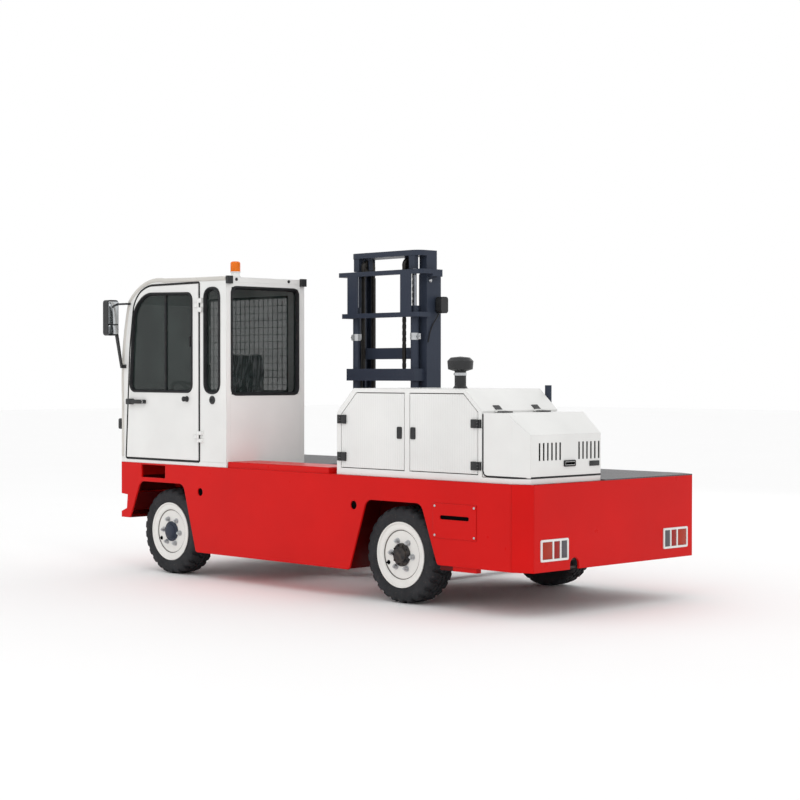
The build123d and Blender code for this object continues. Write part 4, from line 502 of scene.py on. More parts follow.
def arc_points(first, middle, last, steps=10):
    """Points of the arc through three points."""
    a, b, c = (Vector(p) for p in (first, middle, last))
    squares = [p.length_squared for p in (a, b, c)]
    double = 2 * (a.x * (b.y - c.y) + b.x * (c.y - a.y) + c.x * (a.y - b.y))
    heart_x = (squares[0] * (b.y - c.y) + squares[1] * (c.y - a.y) + squares[2] * (a.y - b.y)) / double
    heart_y = (squares[0] * (c.x - b.x) + squares[1] * (a.x - c.x) + squares[2] * (b.x - a.x)) / double
    heart = Vector((heart_x, heart_y))
    start = math.atan2(a.y - heart_y, a.x - heart_x)
    sweep = math.atan2(c.y - heart_y, c.x - heart_x) - start
    sweep = (sweep + math.pi) % (2 * math.pi) - math.pi
    radius = (a - heart).length
    turns = [start + sweep * k / steps for k in range(steps + 1)]
    return [heart + Vector((math.cos(turn), math.sin(turn))) * radius for turn in turns]


def add_ring(mesh, loop, place, inside, outside, back, front):
    """A moulding along a closed outline: from inside to outside of the line, and from back to front."""
    area = sum(loop[i - 1].x * loop[i].y - loop[i].x * loop[i - 1].y for i in range(len(loop)))
    turn = 1 if area > 0 else -1
    lip = 0.3 * (outside - inside)
    shoulder = front * 0.6 + back * 0.4
    section = [(inside, back), (inside, shoulder), (inside + lip, front)]
    section += [(outside - lip, front), (outside, shoulder), (outside, back)]
    rings = []
    for i, point in enumerate(loop):
        way = (loop[(i + 1) % len(loop)] - loop[i - 1]).normalized()
        out = Vector((way.y, -way.x)) * turn
        rings.append([mesh.verts.new(place(point + out * o, d)) for o, d in section])
    bridge(mesh, rings)


def on_left(point, depth):
    """A point of an outline in (u, z), at a depth v."""
    return at(point.x, depth, point.y)


def on_rear(point, depth):
    """A point of an outline in (v, z), at a depth u."""
    return at(depth, point.x, point.y)


def rectangle(first, second):
    return [(first[0], second[0]), (first[1], second[0]), (first[1], second[1]), (first[0], second[1])]


def nut(mesh, centre, axis, across, height, stud):
    """A hexagon nut with the end of its stud."""
    corner, top, rod = across * 0.58, across * 0.48, across * 0.3
    tip = height + stud
    hexagon = [(0, 0), (corner, 0), (corner, height * 0.8), (top, height), (0, height)]
    add_knob(mesh, hexagon, centre, axis, 6)
    add_knob(mesh, [(0, height), (rod, height), (rod, tip), (0, tip)], centre, axis, 10)


def bolt_head(mesh, centre, axis, radius, height):
    section = [(0, 0), (radius, 0), (radius, height * 0.4), (radius * 0.6, height), (0, height)]
    add_knob(mesh, section, centre, axis, 14)


# Wheels

# name, axle u, whether it is on the right
WHEELS = [
    ("front_left", FRONT_AXLE_U, False),
    ("front_right", FRONT_AXLE_U, True),
    ("rear_left", REAR_AXLE_U, False),
    ("rear_right", REAR_AXLE_U, True),
]
LUGS = 26
STEPS_PER_LUG = 12
# one half of a tyre: distance from the middle, radius without tread, depth of tread there
TYRE_HALF = [
    (-99, 226, 0), (-104, 240, 0), (-108, 254, 0), (-107, 258, 0), (-111, 276, 0), (-112, 298, 0),
    (-111, 312, 0), (-109, 316, 5), (-106, 322, 9), (-102, 327, 11), (-96, 331, 12), (-86, 333, 14),
    (-74, 334, 14.5), (-60, 334.5, 15), (-50, 335, 15), (-46, 335, 15), (-42, 335, 15), (-38, 335, 15),
    (-30, 335, 15), (-16, 335, 15), (-8, 335, 15), (-4, 335, 15),
]
TYRE_ACROSS = TYRE_HALF + [(-w, r, d) for w, r, d in reversed(TYRE_HALF)]
# distances from a tyre's middle
SHOULDER = 44
SHOULDER_WIDTH = 68
RING_GROOVE = 41
RING_GROOVE_WAVE = 2
RING_GROOVE_HALF = 4.5
MIDDLE_GROOVE_HALF = 4.2
# shares of one lug's pitch, the last for each millimetre from the middle
SHOULDER_LEAN = 0.25
SHOULDER_GAP = 0.30
SHOULDER_GAP_GROWTH = 0.10
MIDDLE_TIE = 0.8
BLOCK_GAP = 0.13
BLOCK_LEAN = 0.006

# face of the rim's disc from the wheel's middle, then what stands on it and on the hub, turns in degrees
DISC = 88.3
STUDS = 6
STUD_CIRCLE = 107
STUD_TURN = 5
# width across flats, height and length of stud past it
WHEEL_NUT = (30, 20, 10)
WASHER = 3
WASHER_SECTION = [(0, 0), (23, 0), (23, WASHER), (14, WASHER), (14, 0)]
VALVE_CIRCLE = 152
VALVE_TURN = 335
VALVE_HOLE = [(0, 1.2), (15, 1.2), (17, 0), (0, 0)]
VALVE_STEM = [(0, 1), (5, 1), (5, 22), (3.5, 26), (0, 26)]
GROOVE_SECTION = [
    (173, DISC), (179.6, DISC), (179.6, DISC + 5), (178, DISC + 5), (177, DISC + 0.6), (173, DISC + 0.6),
]
HUB_SEAT = [(0, 96.2), (78.5, 96.2), (78.5, 88)]
REAR_HUB = HUB_SEAT + [(84, 88), (84, 98), (74, 104), (60, 105), (56, 116), (40, 122), (0, 123)]
REAR_HUB_NUTS = 10
REAR_HUB_NUT = (14, 10, 3)
REAR_NUT_CIRCLE, REAR_NUT_HEIGHT = 71, 103
FRONT_HUB = HUB_SEAT + [
    (82, 88), (82, 97), (76, 102), (62, 104), (60, 112), (50, 120), (30, 123), (0, 124),
]
FRONT_HUB_BOLTS = 5
# radius and height
FRONT_HUB_BOLT = (6, 6)
FRONT_BOLT_CIRCLE, FRONT_BOLT_HEIGHT = 69, 102
FRONT_BOLT_TURN = 17.1887


def tread(angle, across):
    """1 on a block and 0 in a groove: shoulder blocks, two wavy rings of blocks and a middle line."""
    turn = angle * LUGS / (2 * math.pi)
    side = abs(across)
    if side > SHOULDER:
        lean = SHOULDER_LEAN * (side - SHOULDER) / SHOULDER_WIDTH * (1 if across > 0 else -1)
        gap = SHOULDER_GAP + SHOULDER_GAP_GROWTH * (side - SHOULDER) / SHOULDER_WIDTH
        return 1.0 if (turn + lean) % 1.0 > gap else 0.0
    wave = RING_GROOVE_WAVE if turn % 1.0 < 0.5 else -RING_GROOVE_WAVE
    if abs(side - RING_GROOVE - wave) < RING_GROOVE_HALF:
        return 0.0
    if side < MIDDLE_GROOVE_HALF:
        return 0.0 if turn % 1.0 < MIDDLE_TIE else 1.0
    return 0.0 if (turn + 0.5 + side * BLOCK_LEAN) % 1.0 < BLOCK_GAP else 1.0


def spoke(angle):
    return Vector((math.cos(angle), 0, math.sin(angle)))


def around(centre, axis, angle, circle, height):
    """A point on a circle about a wheel's axis, at a height along it."""
    return centre + spoke(angle) * (circle / 1000) + axis * (height / 1000)


def add_tyre(mesh, centre, axis):
    rings = []
    steps = LUGS * STEPS_PER_LUG
    for step in range(steps):
        angle = 2 * math.pi * step / steps
        ring = []
        for across, radius, depth in TYRE_ACROSS:
            grown = radius + depth * tread(angle, across) if depth else radius
            ring.append(mesh.verts.new(around(centre, axis, angle, grown, across)))
        rings.append(ring)
    bridge(mesh, rings)


for name, axle_u, right in WHEELS:
    body = "wheel_" + name
    centre = at(axle_u, WIDTH - WHEEL_V if right else WHEEL_V, TYRE_R)
    axis = Vector((0, -1 if right else 1, 0))
    mesh = bmesh.new()
    add_tyre(mesh, centre, axis)
    tyre = piece("tread_" + name, mesh, TYRE, body)
    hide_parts("tyre_" + name)

    mesh = bmesh.new()
    for index in range(STUDS):
        angle = math.radians(360 / STUDS * index + STUD_TURN)
        spot = around(centre, axis, angle, STUD_CIRCLE, DISC)
        add_knob(mesh, WASHER_SECTION, spot, axis, 20)
        nut(mesh, spot + axis * (WASHER / 1000), axis, *WHEEL_NUT)
    piece("wheel_nuts_" + name, mesh, ZINC, body)

    # a grey ring painted as the shade at the step of the rim's disc
    mesh = bmesh.new()
    add_lathe(mesh, GROOVE_SECTION, centre, axis, 96)
    piece("rim_groove_shade_" + name, mesh, RIM_GROOVE_SHADE, body)

    # the dark disc about the valve stem is painted shade in its hole; the stem is black rubber
    mesh = bmesh.new()
    spot = around(centre, axis, math.radians(VALVE_TURN), VALVE_CIRCLE, DISC)
    add_knob(mesh, VALVE_HOLE, spot, axis, 24)
    add_knob(mesh, VALVE_STEM, spot, axis, 12)
    piece("valve_" + name, mesh, OPENING_SHADE_AND_BLACK, body)

    mesh = bmesh.new()
    if "rear" in name:
        for index in range(REAR_HUB_NUTS):
            angle = 2 * math.pi * index / REAR_HUB_NUTS
            spot = around(centre, axis, angle, REAR_NUT_CIRCLE, REAR_NUT_HEIGHT)
            nut(mesh, spot, axis, *REAR_HUB_NUT)
        add_knob(mesh, REAR_HUB, centre, axis, 48)
        piece("hub_" + name, mesh, AXLE_PAINT, body)
    else:
        for index in range(FRONT_HUB_BOLTS):
            angle = math.radians(360 / FRONT_HUB_BOLTS * index + FRONT_BOLT_TURN)
            spot = around(centre, axis, angle, FRONT_BOLT_CIRCLE, FRONT_BOLT_HEIGHT)
            bolt_head(mesh, spot, axis, *FRONT_HUB_BOLT)
        add_knob(mesh, FRONT_HUB, centre, axis, 48)
        piece("hub_" + name, mesh, SLATE_PAINT, body)

# Cab door: seal around it on the frame, window rubber with its bars, lever handle and knob

DOOR = [(3493, 953), (4456, 953), (4402, 1870), (4345, 2250), (4250, 2340), (4140, 2376), (3493, 2378)]
DOOR_CORNERS = [6, 6, 1200, 220, 220, 280, 6]
DOOR_WINDOW = [(3573, 1505), (4409, 1507), (4360, 2188), (4198, 2320), (3573, 2305)]
DOOR_WINDOW_CORNERS = [60, 60, 240, 240, 60]
# boxes as u, v and z from and to
WINDOW_DIVIDER = ((3918, 3942), (4, 24), (1510, 2306))
WINDOW_REAR_STRIP = ((3578, 3596), (6, 22), (1515, 2298))
WINDOW_PULL = ((3600, 3616), (2, 12), (1870, 1960))
LEVER_BAR = ((4196, 4412), (-42, -26), (1403, 1437))
LEVER_BOSS = ((4345, 4418), (-44, -0.2), (1396, 1444))
LEVER_FOOT = ((4184, 4218), (-40, -0.2), (1404, 1436))
KNOB_PLACE = at(3638, 0, 1448)
KNOB = [(0, 0), (24, 0), (24, 6), (17, 10), (17, 26), (21, 30), (21, 40), (12, 46), (0, 46)]

mesh = bmesh.new()
add_ring(mesh, arc_loop(DOOR, DOOR_CORNERS), on_left, inside=5, outside=19, back=14, front=-2)
piece("door_seal", mesh, SEAL, "chassis")
mesh = bmesh.new()
door_window = arc_loop(DOOR_WINDOW, DOOR_WINDOW_CORNERS)
add_ring(mesh, door_window, on_left, inside=-16, outside=14, back=34, front=-7)
for box in (WINDOW_DIVIDER, WINDOW_REAR_STRIP, WINDOW_PULL):
    add_box(mesh, *box, edge=3)
piece("door_window_rubber", mesh, SEAL, "cab_door")
mesh = bmesh.new()
for box, edge in ((LEVER_BAR, 6), (LEVER_BOSS, 9), (LEVER_FOOT, 6)):
    add_box(mesh, *box, edge=edge, segments=3)
piece("door_lever", mesh, TRIM, "cab_door")
mesh = bmesh.new()
add_knob(mesh, KNOB, KNOB_PLACE, LEFT, 24)
piece("door_knob", mesh, TRIM, "cab_door")

# Cab frame: rubbers of the quarter, rear and load side windows, lock, plugs and grab handle

# outlines in u and z, or in v and z for the rear
QUARTER_WINDOW = rectangle((3228, 3418), (1500, 2337))
REAR_WINDOW = rectangle((60, 770), (1487, 2342))
LOAD_WINDOW = rectangle((3300, 4370), (1500, 2300))
REAR_RUBBER_U = (CAB_REAR + 36, CAB_REAR - 7)
LOCK_PLACE = at(3317, 4, 1443)
LOCK = [(0, 0), (33, 0), (33, 7), (27, 12), (15, 12), (13, 8), (0, 8)]
LOCK_KEY = ((3312, 3322), (-8, 0), (1431, 1455))
PLUG_VS = (110, 665)
PLUG_Z = 2404
PLUG = [(0, 0), (13, 0), (13, 4), (9, 7), (0, 7)]
GRAB_HANDLE_R = 12
GRAB_HANDLE = [
    at(4330, 792, 2050), at(4300, 760, 2050), at(4292, 752, 2030),
    at(4292, 752, 1760), at(4300, 760, 1740), at(4330, 792, 1740),
]

mesh = bmesh.new()
add_ring(mesh, rounded_loop(QUARTER_WINDOW, 85, 8), on_left, inside=-16, outside=16, back=40, front=-4)
back_u, front_u = REAR_RUBBER_U
rear_window = rounded_loop(REAR_WINDOW, 55, 8)
add_ring(mesh, rear_window, on_rear, inside=-18, outside=16, back=back_u, front=front_u)
add_ring(mesh, rounded_loop(LOAD_WINDOW, 55, 8), on_left, inside=-16, outside=12, back=800, front=834)
piece("window_rubbers", mesh, SEAL, "chassis")
mesh = bmesh.new()
add_knob(mesh, LOCK, LOCK_PLACE, LEFT)
add_box(mesh, *LOCK_KEY, edge=2)
for plug_v in PLUG_VS:
    add_knob(mesh, PLUG, at(CAB_REAR, plug_v, PLUG_Z), BACK, 20)
piece("cab_lock_and_plugs", mesh, TRIM, "chassis")
mesh = bmesh.new()
add_tube(mesh, smooth_path(GRAB_HANDLE, 5), GRAB_HANDLE_R, sides=12)
piece("grab_handle", mesh, WHITE_PAINT, "chassis")

# Rounded edge along the roof and the front of the cab, on both sides, in a greyer white that paints the
# shade on the curve

EDGE_R = 20
EDGE_VS = (15, 825)
# points and arcs of the edge in u and z, from the rear of the roof to the foot of the front
ROOF_STRAIGHT = ((CAB_REAR + 4, 2408), (3600, 2412))
ROOF_BEND = ((3950, 2419), (4281, 2364), (4420, 2256))
FRONT_BEND = ((4422, 2252), (4478, 2012), (4512, 1430))
FRONT_FOOT = (4515, 960)

edge_line = [Vector(point) for point in ROOF_STRAIGHT]
edge_line += arc_points(*ROOF_BEND)
edge_line += arc_points(*FRONT_BEND)[1:]
edge_line.append(Vector(FRONT_FOOT))
mesh = bmesh.new()
for edge_v in EDGE_VS:
    add_tube(mesh, [on_left(point, edge_v) for point in edge_line], EDGE_R, sides=16)
piece("cab_edges", mesh, EDGE_SHADE_PAINT, "chassis")

# Beacon foot: a white collar below the lens

BEACON_AXIS = at(3205, 150, 0)
COLLAR = [
    (33.6, 2424), (44, 2424), (44, 2430), (37, 2434), (36, 2458), (42, 2462), (42, 2468), (33.6, 2468),
]
mesh = bmesh.new()
add_lathe(mesh, COLLAR, BEACON_AXIS, UP, 40)
piece("beacon_collar", mesh, WHITE_PAINT, "chassis")

# Tail lamp lenses in three colours, outermost amber

# side, v where the lamp's frame starts, shares of the lenses, lens materials
LAMPS = [
    ("left", 131, (0.46, 0.27, 0.27), (LENS_AMBER, LENS_RED, LENS_CLEAR)),
    ("right", 1491, (0.27, 0.27, 0.46), (LENS_CLEAR, LENS_RED, LENS_AMBER)),
]
LENSES_WIDTH = 226
LENS_BAR = 16
LENS_GAP = 0.5
LENS_U = (-6.5, -0.5)
LENS_Z = (401.5, 518.5)
for side, low, shares, colours in LAMPS:
    for index, (share, colour) in enumerate(zip(shares, colours)):
        low += LENS_BAR
        high = low + LENSES_WIDTH * share
        mesh = bmesh.new()
        add_box(mesh, LENS_U, (low + LENS_GAP, high - LENS_GAP), LENS_Z, edge=3, segments=3)
        lamp = piece(f"tail_lens_{side}_{index}", mesh, colour, "chassis")
        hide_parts("tail_lamp_lenses")
        low = high

# Left plate: bolts of the tank cover, then shade in the cover's slot and in the plate's two holes

COVER_BOLTS = [(478, 525), (851, 525), (478, 730), (851, 730)]
COVER_FACE_V = -5
# radius and height
COVER_BOLT = (9, 5)
COVER_SLOT = ((527.5, 801.5), (2, 9), (638.5, 665.5))
PLATE_HOLES = [(3471, 700), (1679, 690)]
HOLE_SHADE_V = 10
HOLE_SHADE = [(0, 0), (31.7, 0), (31.7, 2), (0, 2)]
mesh = bmesh.new()
for bolt_u, bolt_z in COVER_BOLTS:
    bolt_head(mesh, at(bolt_u, COVER_FACE_V, bolt_z), LEFT, *COVER_BOLT)
piece("cover_bolts", mesh, ZINC, "chassis")
mesh = bmesh.new()
add_box(mesh, *COVER_SLOT)
for hole_u, hole_z in PLATE_HOLES:
    add_knob(mesh, HOLE_SHADE, at(hole_u, HOLE_SHADE_V, hole_z), LEFT)
piece("plate_openings", mesh, OPENING_SHADE_AND_BLACK, "chassis", smooth=False)

# Marker lamp at the front left corner of the cab

MARKER = ((4516, 4574), (-6, 44), (1185, 1275))
mesh = bmesh.new()
add_box(mesh, *MARKER, edge=12, segments=3)
piece("front_marker", mesh, TRIM, "chassis")

# Hood doors: black hinges and handles

# door's body, hinge u, way from the hinge into the door, handle u, heights of the hinges
HOOD_DOORS = [
    ("hood_door_front", 1836, -1, 1222, [(1010, 1075), (1285, 1350)]),
    ("hood_door_rear", 460, 1, 1086, [(990, 1050), (1280, 1340)]),
]
HINGE_V = 9
HINGE_CLEAR = 9
SLEEVE = (7.6, 8.8)
SLEEVE_GAP = 0.4
DOOR_LEAF = 62
FIXED_LEAF = 29
DOOR_LEAF_V = (5, 19.8)
FIXED_LEAF_V = (7, 19.8)
HANDLE_HALF = 20
HANDLE_Z = (1190, 1270)
HANDLE_PAD_HALF = 19
HANDLE_PAD_V = (12, 19)
HANDLE_PAD_Z = (1191, 1269)
for body, hinge_u, inward, handle_u, heights in HOOD_DOORS:
    mesh = bmesh.new()
    fixed = bmesh.new()
    door_leaf = sorted((hinge_u + inward * HINGE_CLEAR, hinge_u + inward * DOOR_LEAF))
    fixed_leaf = sorted((hinge_u - inward * HINGE_CLEAR, hinge_u - inward * FIXED_LEAF))
    for low, high in heights:
        add_box(mesh, door_leaf, DOOR_LEAF_V, (low, high), edge=3)
        add_box(fixed, fixed_leaf, FIXED_LEAF_V, (low, high), edge=3)
        third = (high - low) / 3
        for target, start in ((fixed, low), (mesh, low + third), (fixed, low + 2 * third)):
            sleeve = rectangle(SLEEVE, (start + SLEEVE_GAP, start + third - SLEEVE_GAP))
            add_lathe(target, sleeve, at(hinge_u, HINGE_V, 0), UP, 20)
    piece(body + "_hinge_leaves", mesh, TRIM, body)
    piece(body + "_fixed_leaves", fixed, TRIM, "chassis")
    mesh = bmesh.new()
    outline = rounded_loop(rectangle((handle_u - HANDLE_HALF, handle_u + HANDLE_HALF), HANDLE_Z), 6, 3)
    add_ring(mesh, outline, on_left, inside=-7, outside=3, back=20, front=10)
    pad_u = (handle_u - HANDLE_PAD_HALF, handle_u + HANDLE_PAD_HALF)
    add_box(mesh, pad_u, HANDLE_PAD_V, HANDLE_PAD_Z, edge=2)
    piece(body + "_handle", mesh, TRIM, body)

# Rear hood: latch, handle rim, hinge leaves, seal, painted shade in the louvres and the handle, and the
# hinges' fixed plates

LID_LATCH = ((27, 33.8), (690, 796), (1014, 1050))
LID_HANDLE = rectangle((417, 534), (1021, 1059))
LID_HANDLE_SHADE = ((24.6, 25.8), (427, 524), (1031, 1049))
LID_LEAF_U = (345, 404)
LID_LEAF_Z = (1385.2, 1395)
LID_LEAVES_V = [(153, 247), (558, 652)]
LID_SEAL_R = 6.5
LID_EDGE = [
    at(418, 23, 1378), at(418, 23, 990), at(406, 23, 962), at(380, 23, 953),
    at(150, 23, 953), at(37, 77, 953), at(37, 812, 953), at(400, 812, 953),
]
LOUVRE_GROUPS_V = (155, 572)
LOUVRES = 6
LOUVRE_PITCH = 43
LOUVRE_WIDTH = 16
LOUVRE_GAP = 0.4
LOUVRE_U = (35.5, 51)
LOUVRE_Z = (1065.4, 1184.6)
mesh = bmesh.new()
add_box(mesh, *LID_LATCH, edge=3)
add_ring(mesh, rounded_loop(LID_HANDLE, 5, 3), on_rear, inside=-8, outside=3, back=33, front=23)
for leaf_v in LID_LEAVES_V:
    add_box(mesh, LID_LEAF_U, leaf_v, LID_LEAF_Z, edge=3)
piece("lid_furniture", mesh, TRIM, "rear_hood")
mesh = bmesh.new()
add_tube(mesh, LID_EDGE, LID_SEAL_R)
piece("lid_seal", mesh, SEAL, "rear_hood")
# near-black boxes in the louvre slots and behind the handle: painted shade
mesh = bmesh.new()
for group_v in LOUVRE_GROUPS_V:
    for index in range(LOUVRES):
        louvre = group_v + LOUVRE_PITCH * index
        add_box(mesh, LOUVRE_U, (louvre + LOUVRE_GAP, louvre + LOUVRE_WIDTH - LOUVRE_GAP), LOUVRE_Z)
add_box(mesh, *LID_HANDLE_SHADE)
piece("louvre_shade", mesh, OPENING_SHADE_AND_BLACK, "rear_hood", smooth=False)

# the hood's slope in u and z: its foot, the way up it and the way out of it
SLOPE_FOOT = Vector((427, 1398))
SLOPE = Vector((0.738, 0.675))
SLOPE_OUT = Vector((-0.675, 0.738))
PLATES_V = [(168, 232), (573, 637)]
PLATE_SECTION = [(4, 0.2), (50, 0.2), (50, 5), (4, 5)]
mesh = bmesh.new()
for plate_v in PLATES_V:
    edges = []
    for along, out in PLATE_SECTION:
        spot = SLOPE_FOOT + SLOPE * along + SLOPE_OUT * out
        edges.append([mesh.verts.new(on_left(spot, v)) for v in plate_v])
    for (a, b), (c, d) in zip(edges, edges[1:] + edges[:1]):
        mesh.faces.new((a, b, d, c))
    for end in zip(*edges):
        mesh.faces.new(end)
piece("lid_hinge_plates", mesh, TRIM, "chassis", smooth=False)

# Pre-cleaner: clamp and its bolt lug

CLEANER_AXIS = at(1030, 450, 0)
CLEANER_CLAMP = rectangle((41.5, 45), (1640, 1660))
CLAMP_LUG = ((1070, 1092), (442, 458), (1643, 1657))
mesh = bmesh.new()
add_lathe(mesh, CLEANER_CLAMP, CLEANER_AXIS, UP, 40)
add_box(mesh, *CLAMP_LUG, edge=2)
piece("precleaner_clamp", mesh, ZINC, "chassis")

# Mast: cylinder clamps, roller bolts, pipes, lamp cable and chain links

# distances to each side of the mast's middle
CYLINDER_OFF = 329
ROLLER_OFF = 413
CHAIN_OFF = 232
# distances outward from a cylinder's middle
CLAMP_LUG_OFF = (34, 62)
CLAMP_NUT_OFF = 50
CYLINDER_V = 1040
CLAMP = rectangle((33.2, 36.5), (1920, 1975))
CLAMP_LUG_V = (1034, 1046)
CLAMP_LUG_Z = (1924, 1971)
CLAMP_NUT_Z = 1948
CLAMP_NUT = (16, 9, 4)
ROLLER_V = 1130
ROLLER_Z = 2388
ROLLER_BOLT = (16, 9)
PIPE_US = (2690, 2112)
PIPE_R = 8
PIPE_V = 1056
PIPE_Z = (190, 1930)
CABLE_R = 4.5
LAMP_CABLE = [
    at(1955, 1195, 2131), at(1968, 1180, 2090), at(1980, 1150, 2040), at(1980, 1118, 1975),
    at(1981, 1098, 1900),
]
LINK = 25.4
# strands of each chain as v, and z from and to
STRANDS = [(1020, 1682, 2500), (1130, 664, 2500)]
OUTER_LINK, INNER_LINK = 15.2, 12.5
LINK_PLATE = 3
LINK_HALF = 9
LINK_PAST_PIN = 3
PIN_LENGTH = 33
PIN = [(0, 0), (5, 0), (5, PIN_LENGTH), (0, PIN_LENGTH)]
mesh = bmesh.new()
for side in (-1, 1):
    tube_u = MAST_U + side * CYLINDER_OFF
    add_lathe(mesh, CLAMP, at(tube_u, CYLINDER_V, 0), UP, 36)
    lug_u = sorted(tube_u + side * off for off in CLAMP_LUG_OFF)
    add_box(mesh, lug_u, CLAMP_LUG_V, CLAMP_LUG_Z, edge=2)
    nut(mesh, at(tube_u + side * CLAMP_NUT_OFF, CLAMP_LUG_V[0], CLAMP_NUT_Z), LEFT, *CLAMP_NUT)
    bolt_head(mesh, at(MAST_U + side * ROLLER_OFF, ROLLER_V, ROLLER_Z), (side, 0, 0), *ROLLER_BOLT)
piece("mast_clamps", mesh, ZINC, "outer_mast")
mesh = bmesh.new()
for pipe_u in PIPE_US:
    add_tube(mesh, [at(pipe_u, PIPE_V, z) for z in PIPE_Z], PIPE_R)
add_tube(mesh, smooth_path(LAMP_CABLE, 6), CABLE_R, sides=8)
piece("mast_pipes", mesh, SEAL, "outer_mast")
mesh = bmesh.new()
for side in (-1, 1):
    chain_u = MAST_U + side * CHAIN_OFF
    for strand_v, low, high in STRANDS:
        link_v = (strand_v - LINK_HALF, strand_v + LINK_HALF)
        for index in range(int((high - low) / LINK)):
            z = low + index * LINK
            link_z = (z - LINK_PAST_PIN, z + LINK + LINK_PAST_PIN)
            wide = OUTER_LINK if index % 2 else INNER_LINK
            for flank in (-1, 1):
                plate = sorted((chain_u + flank * (wide - LINK_PLATE), chain_u + flank * wide))
                add_box(mesh, plate, link_v, link_z, edge=2, segments=1)
            add_knob(mesh, PIN, at(chain_u - PIN_LENGTH / 2, strand_v, z), FORWARD, 8)
piece("chain_links", mesh, CHAIN, "inner_mast")

# Mirror glass in two panes, facing back

MIRROR_U = (4526, 4529.8)
MIRROR_V = (-132, -38)
MIRROR_ZS = [(2072, 2262), (1988, 2062)]
mesh = bmesh.new()
for pane_z in MIRROR_ZS:
    add_box(mesh, MIRROR_U, MIRROR_V, pane_z, edge=2)
piece("mirror_panes", mesh, MIRROR_GLASS, "chassis")

# Seat: crowned cushion and back in creased wrap, on a plain box

PAD_STEPS = 28
PAD_PULL = 0.035
PAD_FOOT = 0.97
SEAM_AT = 0.62
SEAM_HALF = 0.03
SEAM_DEPTH = 0.25
PAN_MIDDLE_U = 3675
PAN_Z = 1232
BACK_MIDDLE = at(3474, SEAT_V, 1590)
BACK_UP = (at(3445, SEAT_V, 1820) - at(3500, SEAT_V, 1350)).normalized()
BACK_OUT = Vector((BACK_UP.z, 0, -BACK_UP.x))
BACK_HALF = 232
BACK_SINK = 58
HEAD_DRAW = 0.3
SEAT_BOX = ((3484, 3836), (254, 586), (945.5, 1215))
SEAT_TRAY = ((3440, 3880), (215, 625), (1212, 1231.5))


def cushion(name, place, across, along, thick, crown):
    """A closed pad with a crowned face, sides that pull in between its corners and a sewn channel."""
    mesh = bmesh.new()
    top, bottom = [], []
    for i in range(PAD_STEPS + 1):
        row_top, row_bottom = [], []
        for j in range(PAD_STEPS + 1):
            s, t = 2 * i / PAD_STEPS - 1, 2 * j / PAD_STEPS - 1
            pull = 1 - PAD_PULL * (1 - s * s) * abs(t) ** 8
            draw = 1 - PAD_PULL * (1 - t * t) * abs(s) ** 8
            rim = (1 - abs(s) ** 7) * (1 - abs(t) ** 7)
            seam = math.exp(-(((abs(s) - SEAM_AT) / SEAM_HALF) ** 2)) * SEAM_DEPTH
            body = thick * (0.5 + 0.5 * max(rim, 0.0) ** 0.35)
            lift = body + crown * (1 - s * s) * (1 - t * t) - seam * crown
            wide, long = s * across * draw, t * along * pull
            row_top.append(mesh.verts.new(place(wide, long, lift)))
            row_bottom.append(mesh.verts.new(place(wide * PAD_FOOT, long * PAD_FOOT, 0.0)))
        top.append(row_top)
        bottom.append(row_bottom)
    last = PAD_STEPS
    for i in range(last):
        for j in range(last):
            mesh.faces.new((top[i][j], top[i + 1][j], top[i + 1][j + 1], top[i][j + 1]))
            mesh.faces.new((bottom[i][j], bottom[i][j + 1], bottom[i + 1][j + 1], bottom[i + 1][j]))
    for i in range(last):
        sides = [((i, 0), (i + 1, 0)), ((i, last), (i + 1, last))]
        sides += [((0, i), (0, i + 1)), ((last, i), (last, i + 1))]
        for (a, b), (c, d) in sides:
            mesh.faces.new((top[a][b], top[c][d], bottom[c][d], bottom[a][b]))
    made = piece(name, mesh, SEAT, "chassis")
    return made


def on_pan(s, t, h):
    """A point of the seat's cushion."""
    return at(PAN_MIDDLE_U + t, SEAT_V + s, PAN_Z + h)


def on_back(s, t, h):
    """A point of the backrest, whose top draws in to a rounded head."""
    draw = 1 - HEAD_DRAW * max(0.0, t / BACK_HALF) ** 3
    aside = Vector((0, s * draw / 1000, 0))
    return BACK_MIDDLE + BACK_UP * (t / 1000) + aside + BACK_OUT * ((h - BACK_SINK) / 1000)


pan = cushion("seat_cushion", on_pan, across=226, along=222, thick=92, crown=24)
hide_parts("seat")
cushion("seat_backrest", on_back, across=222, along=BACK_HALF, thick=84, crown=22)
mesh = bmesh.new()
add_box(mesh, *SEAT_BOX, edge=12, segments=3)
add_box(mesh, *SEAT_TRAY, edge=6)
piece("seat_base", mesh, TRIM, "chassis")

# Stage, camera and light. Lengths are in metres from here on.

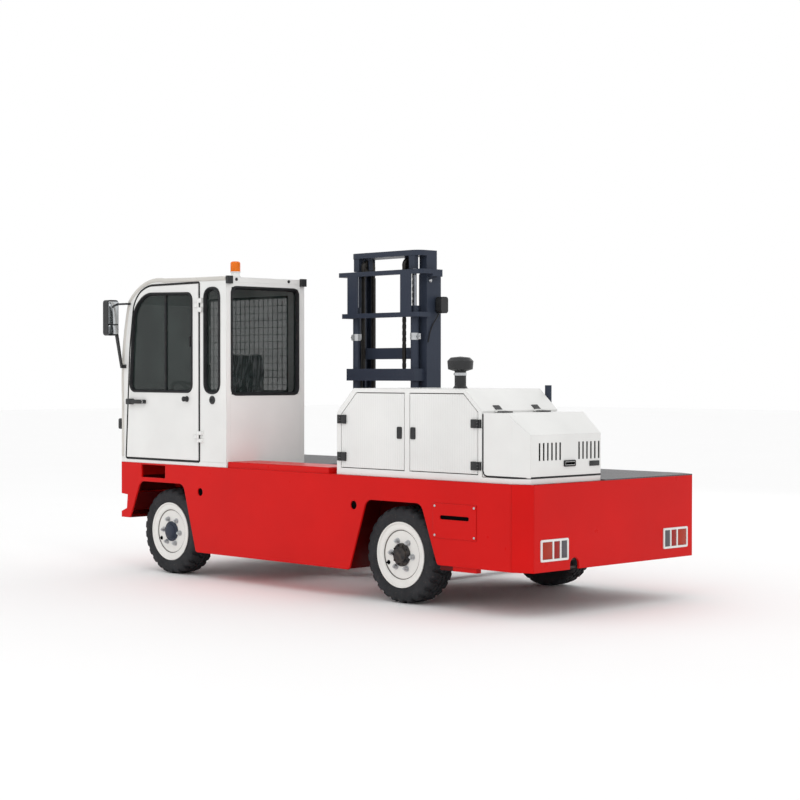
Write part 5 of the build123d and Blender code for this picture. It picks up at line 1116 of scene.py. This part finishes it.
FLOOR_HALF = 60
FLOOR_TONES = [(0.955, 0.955, 0.955, 1), (0.975, 0.975, 0.975, 1)]
floor_data = bpy.data.meshes.new("floor")
floor_mesh = bmesh.new()
bmesh.ops.create_grid(floor_mesh, x_segments=1, y_segments=1, size=FLOOR_HALF)
floor_mesh.to_mesh(floor_data)
floor_mesh.free()
floor = bpy.data.objects.new("floor", floor_data)
bpy.context.scene.collection.objects.link(floor)
ground = Shader("floor", Roughness=0.9)
ground.link(ground.mix(ground.noise(0.6), *FLOOR_TONES), "Base Color")
floor_data.materials.append(ground.material)

CAMERA_PLACE = Vector((-10.167, 10.229, 1.652))
CAMERA_WAY = Vector((0.7245, -0.6893, -0.01453))
SENSOR_MM = 36
LENS_MM = 81.0
SHIFT_X = 0.0597
SEEN_TO = 300
camera_data = bpy.data.cameras.new("camera")
camera_data.sensor_width = SENSOR_MM
camera_data.lens = LENS_MM
camera_data.shift_x = SHIFT_X
camera_data.clip_end = SEEN_TO
camera = bpy.data.objects.new("camera", camera_data)
camera.location = CAMERA_PLACE
camera.rotation_euler = CAMERA_WAY.to_track_quat("-Z", "Y").to_euler()
bpy.context.scene.collection.objects.link(camera)
bpy.context.scene.camera = camera

# light name, place, aim, size, spread in degrees, power in watts
LIGHTS = [
    ("key", (-3.0, 9.0, 7.0), (0, 0, 0.9), 7.0, 180, 60),
    ("cab_fill", (-5.3, 3.1, 4.6), (0.85, 0.72, 1.45), 1.4, 24, 2.5),
    ("load_fill", (2.0, -9.0, 6.0), (0, 0, 0.8), 6.0, 180, 70),
]
for name, place, aim, size, spread, power in LIGHTS:
    data = bpy.data.lights.new(name, "AREA")
    data.size = size
    data.spread = math.radians(spread)
    data.energy = power
    lamp = bpy.data.objects.new(name, data)
    lamp.location = place
    lamp.rotation_euler = (Vector(aim) - Vector(place)).to_track_quat("-Z", "Y").to_euler()
    bpy.context.scene.collection.objects.link(lamp)

world = bpy.data.worlds.new("world")
bpy.context.scene.world = world
world.use_nodes = True
background = world.node_tree.nodes["Background"]
background.inputs["Color"].default_value = (1.0, 1.0, 1.0, 1)
background.inputs["Strength"].default_value = 1.0
bpy.context.scene.view_settings.view_transform = "Standard"
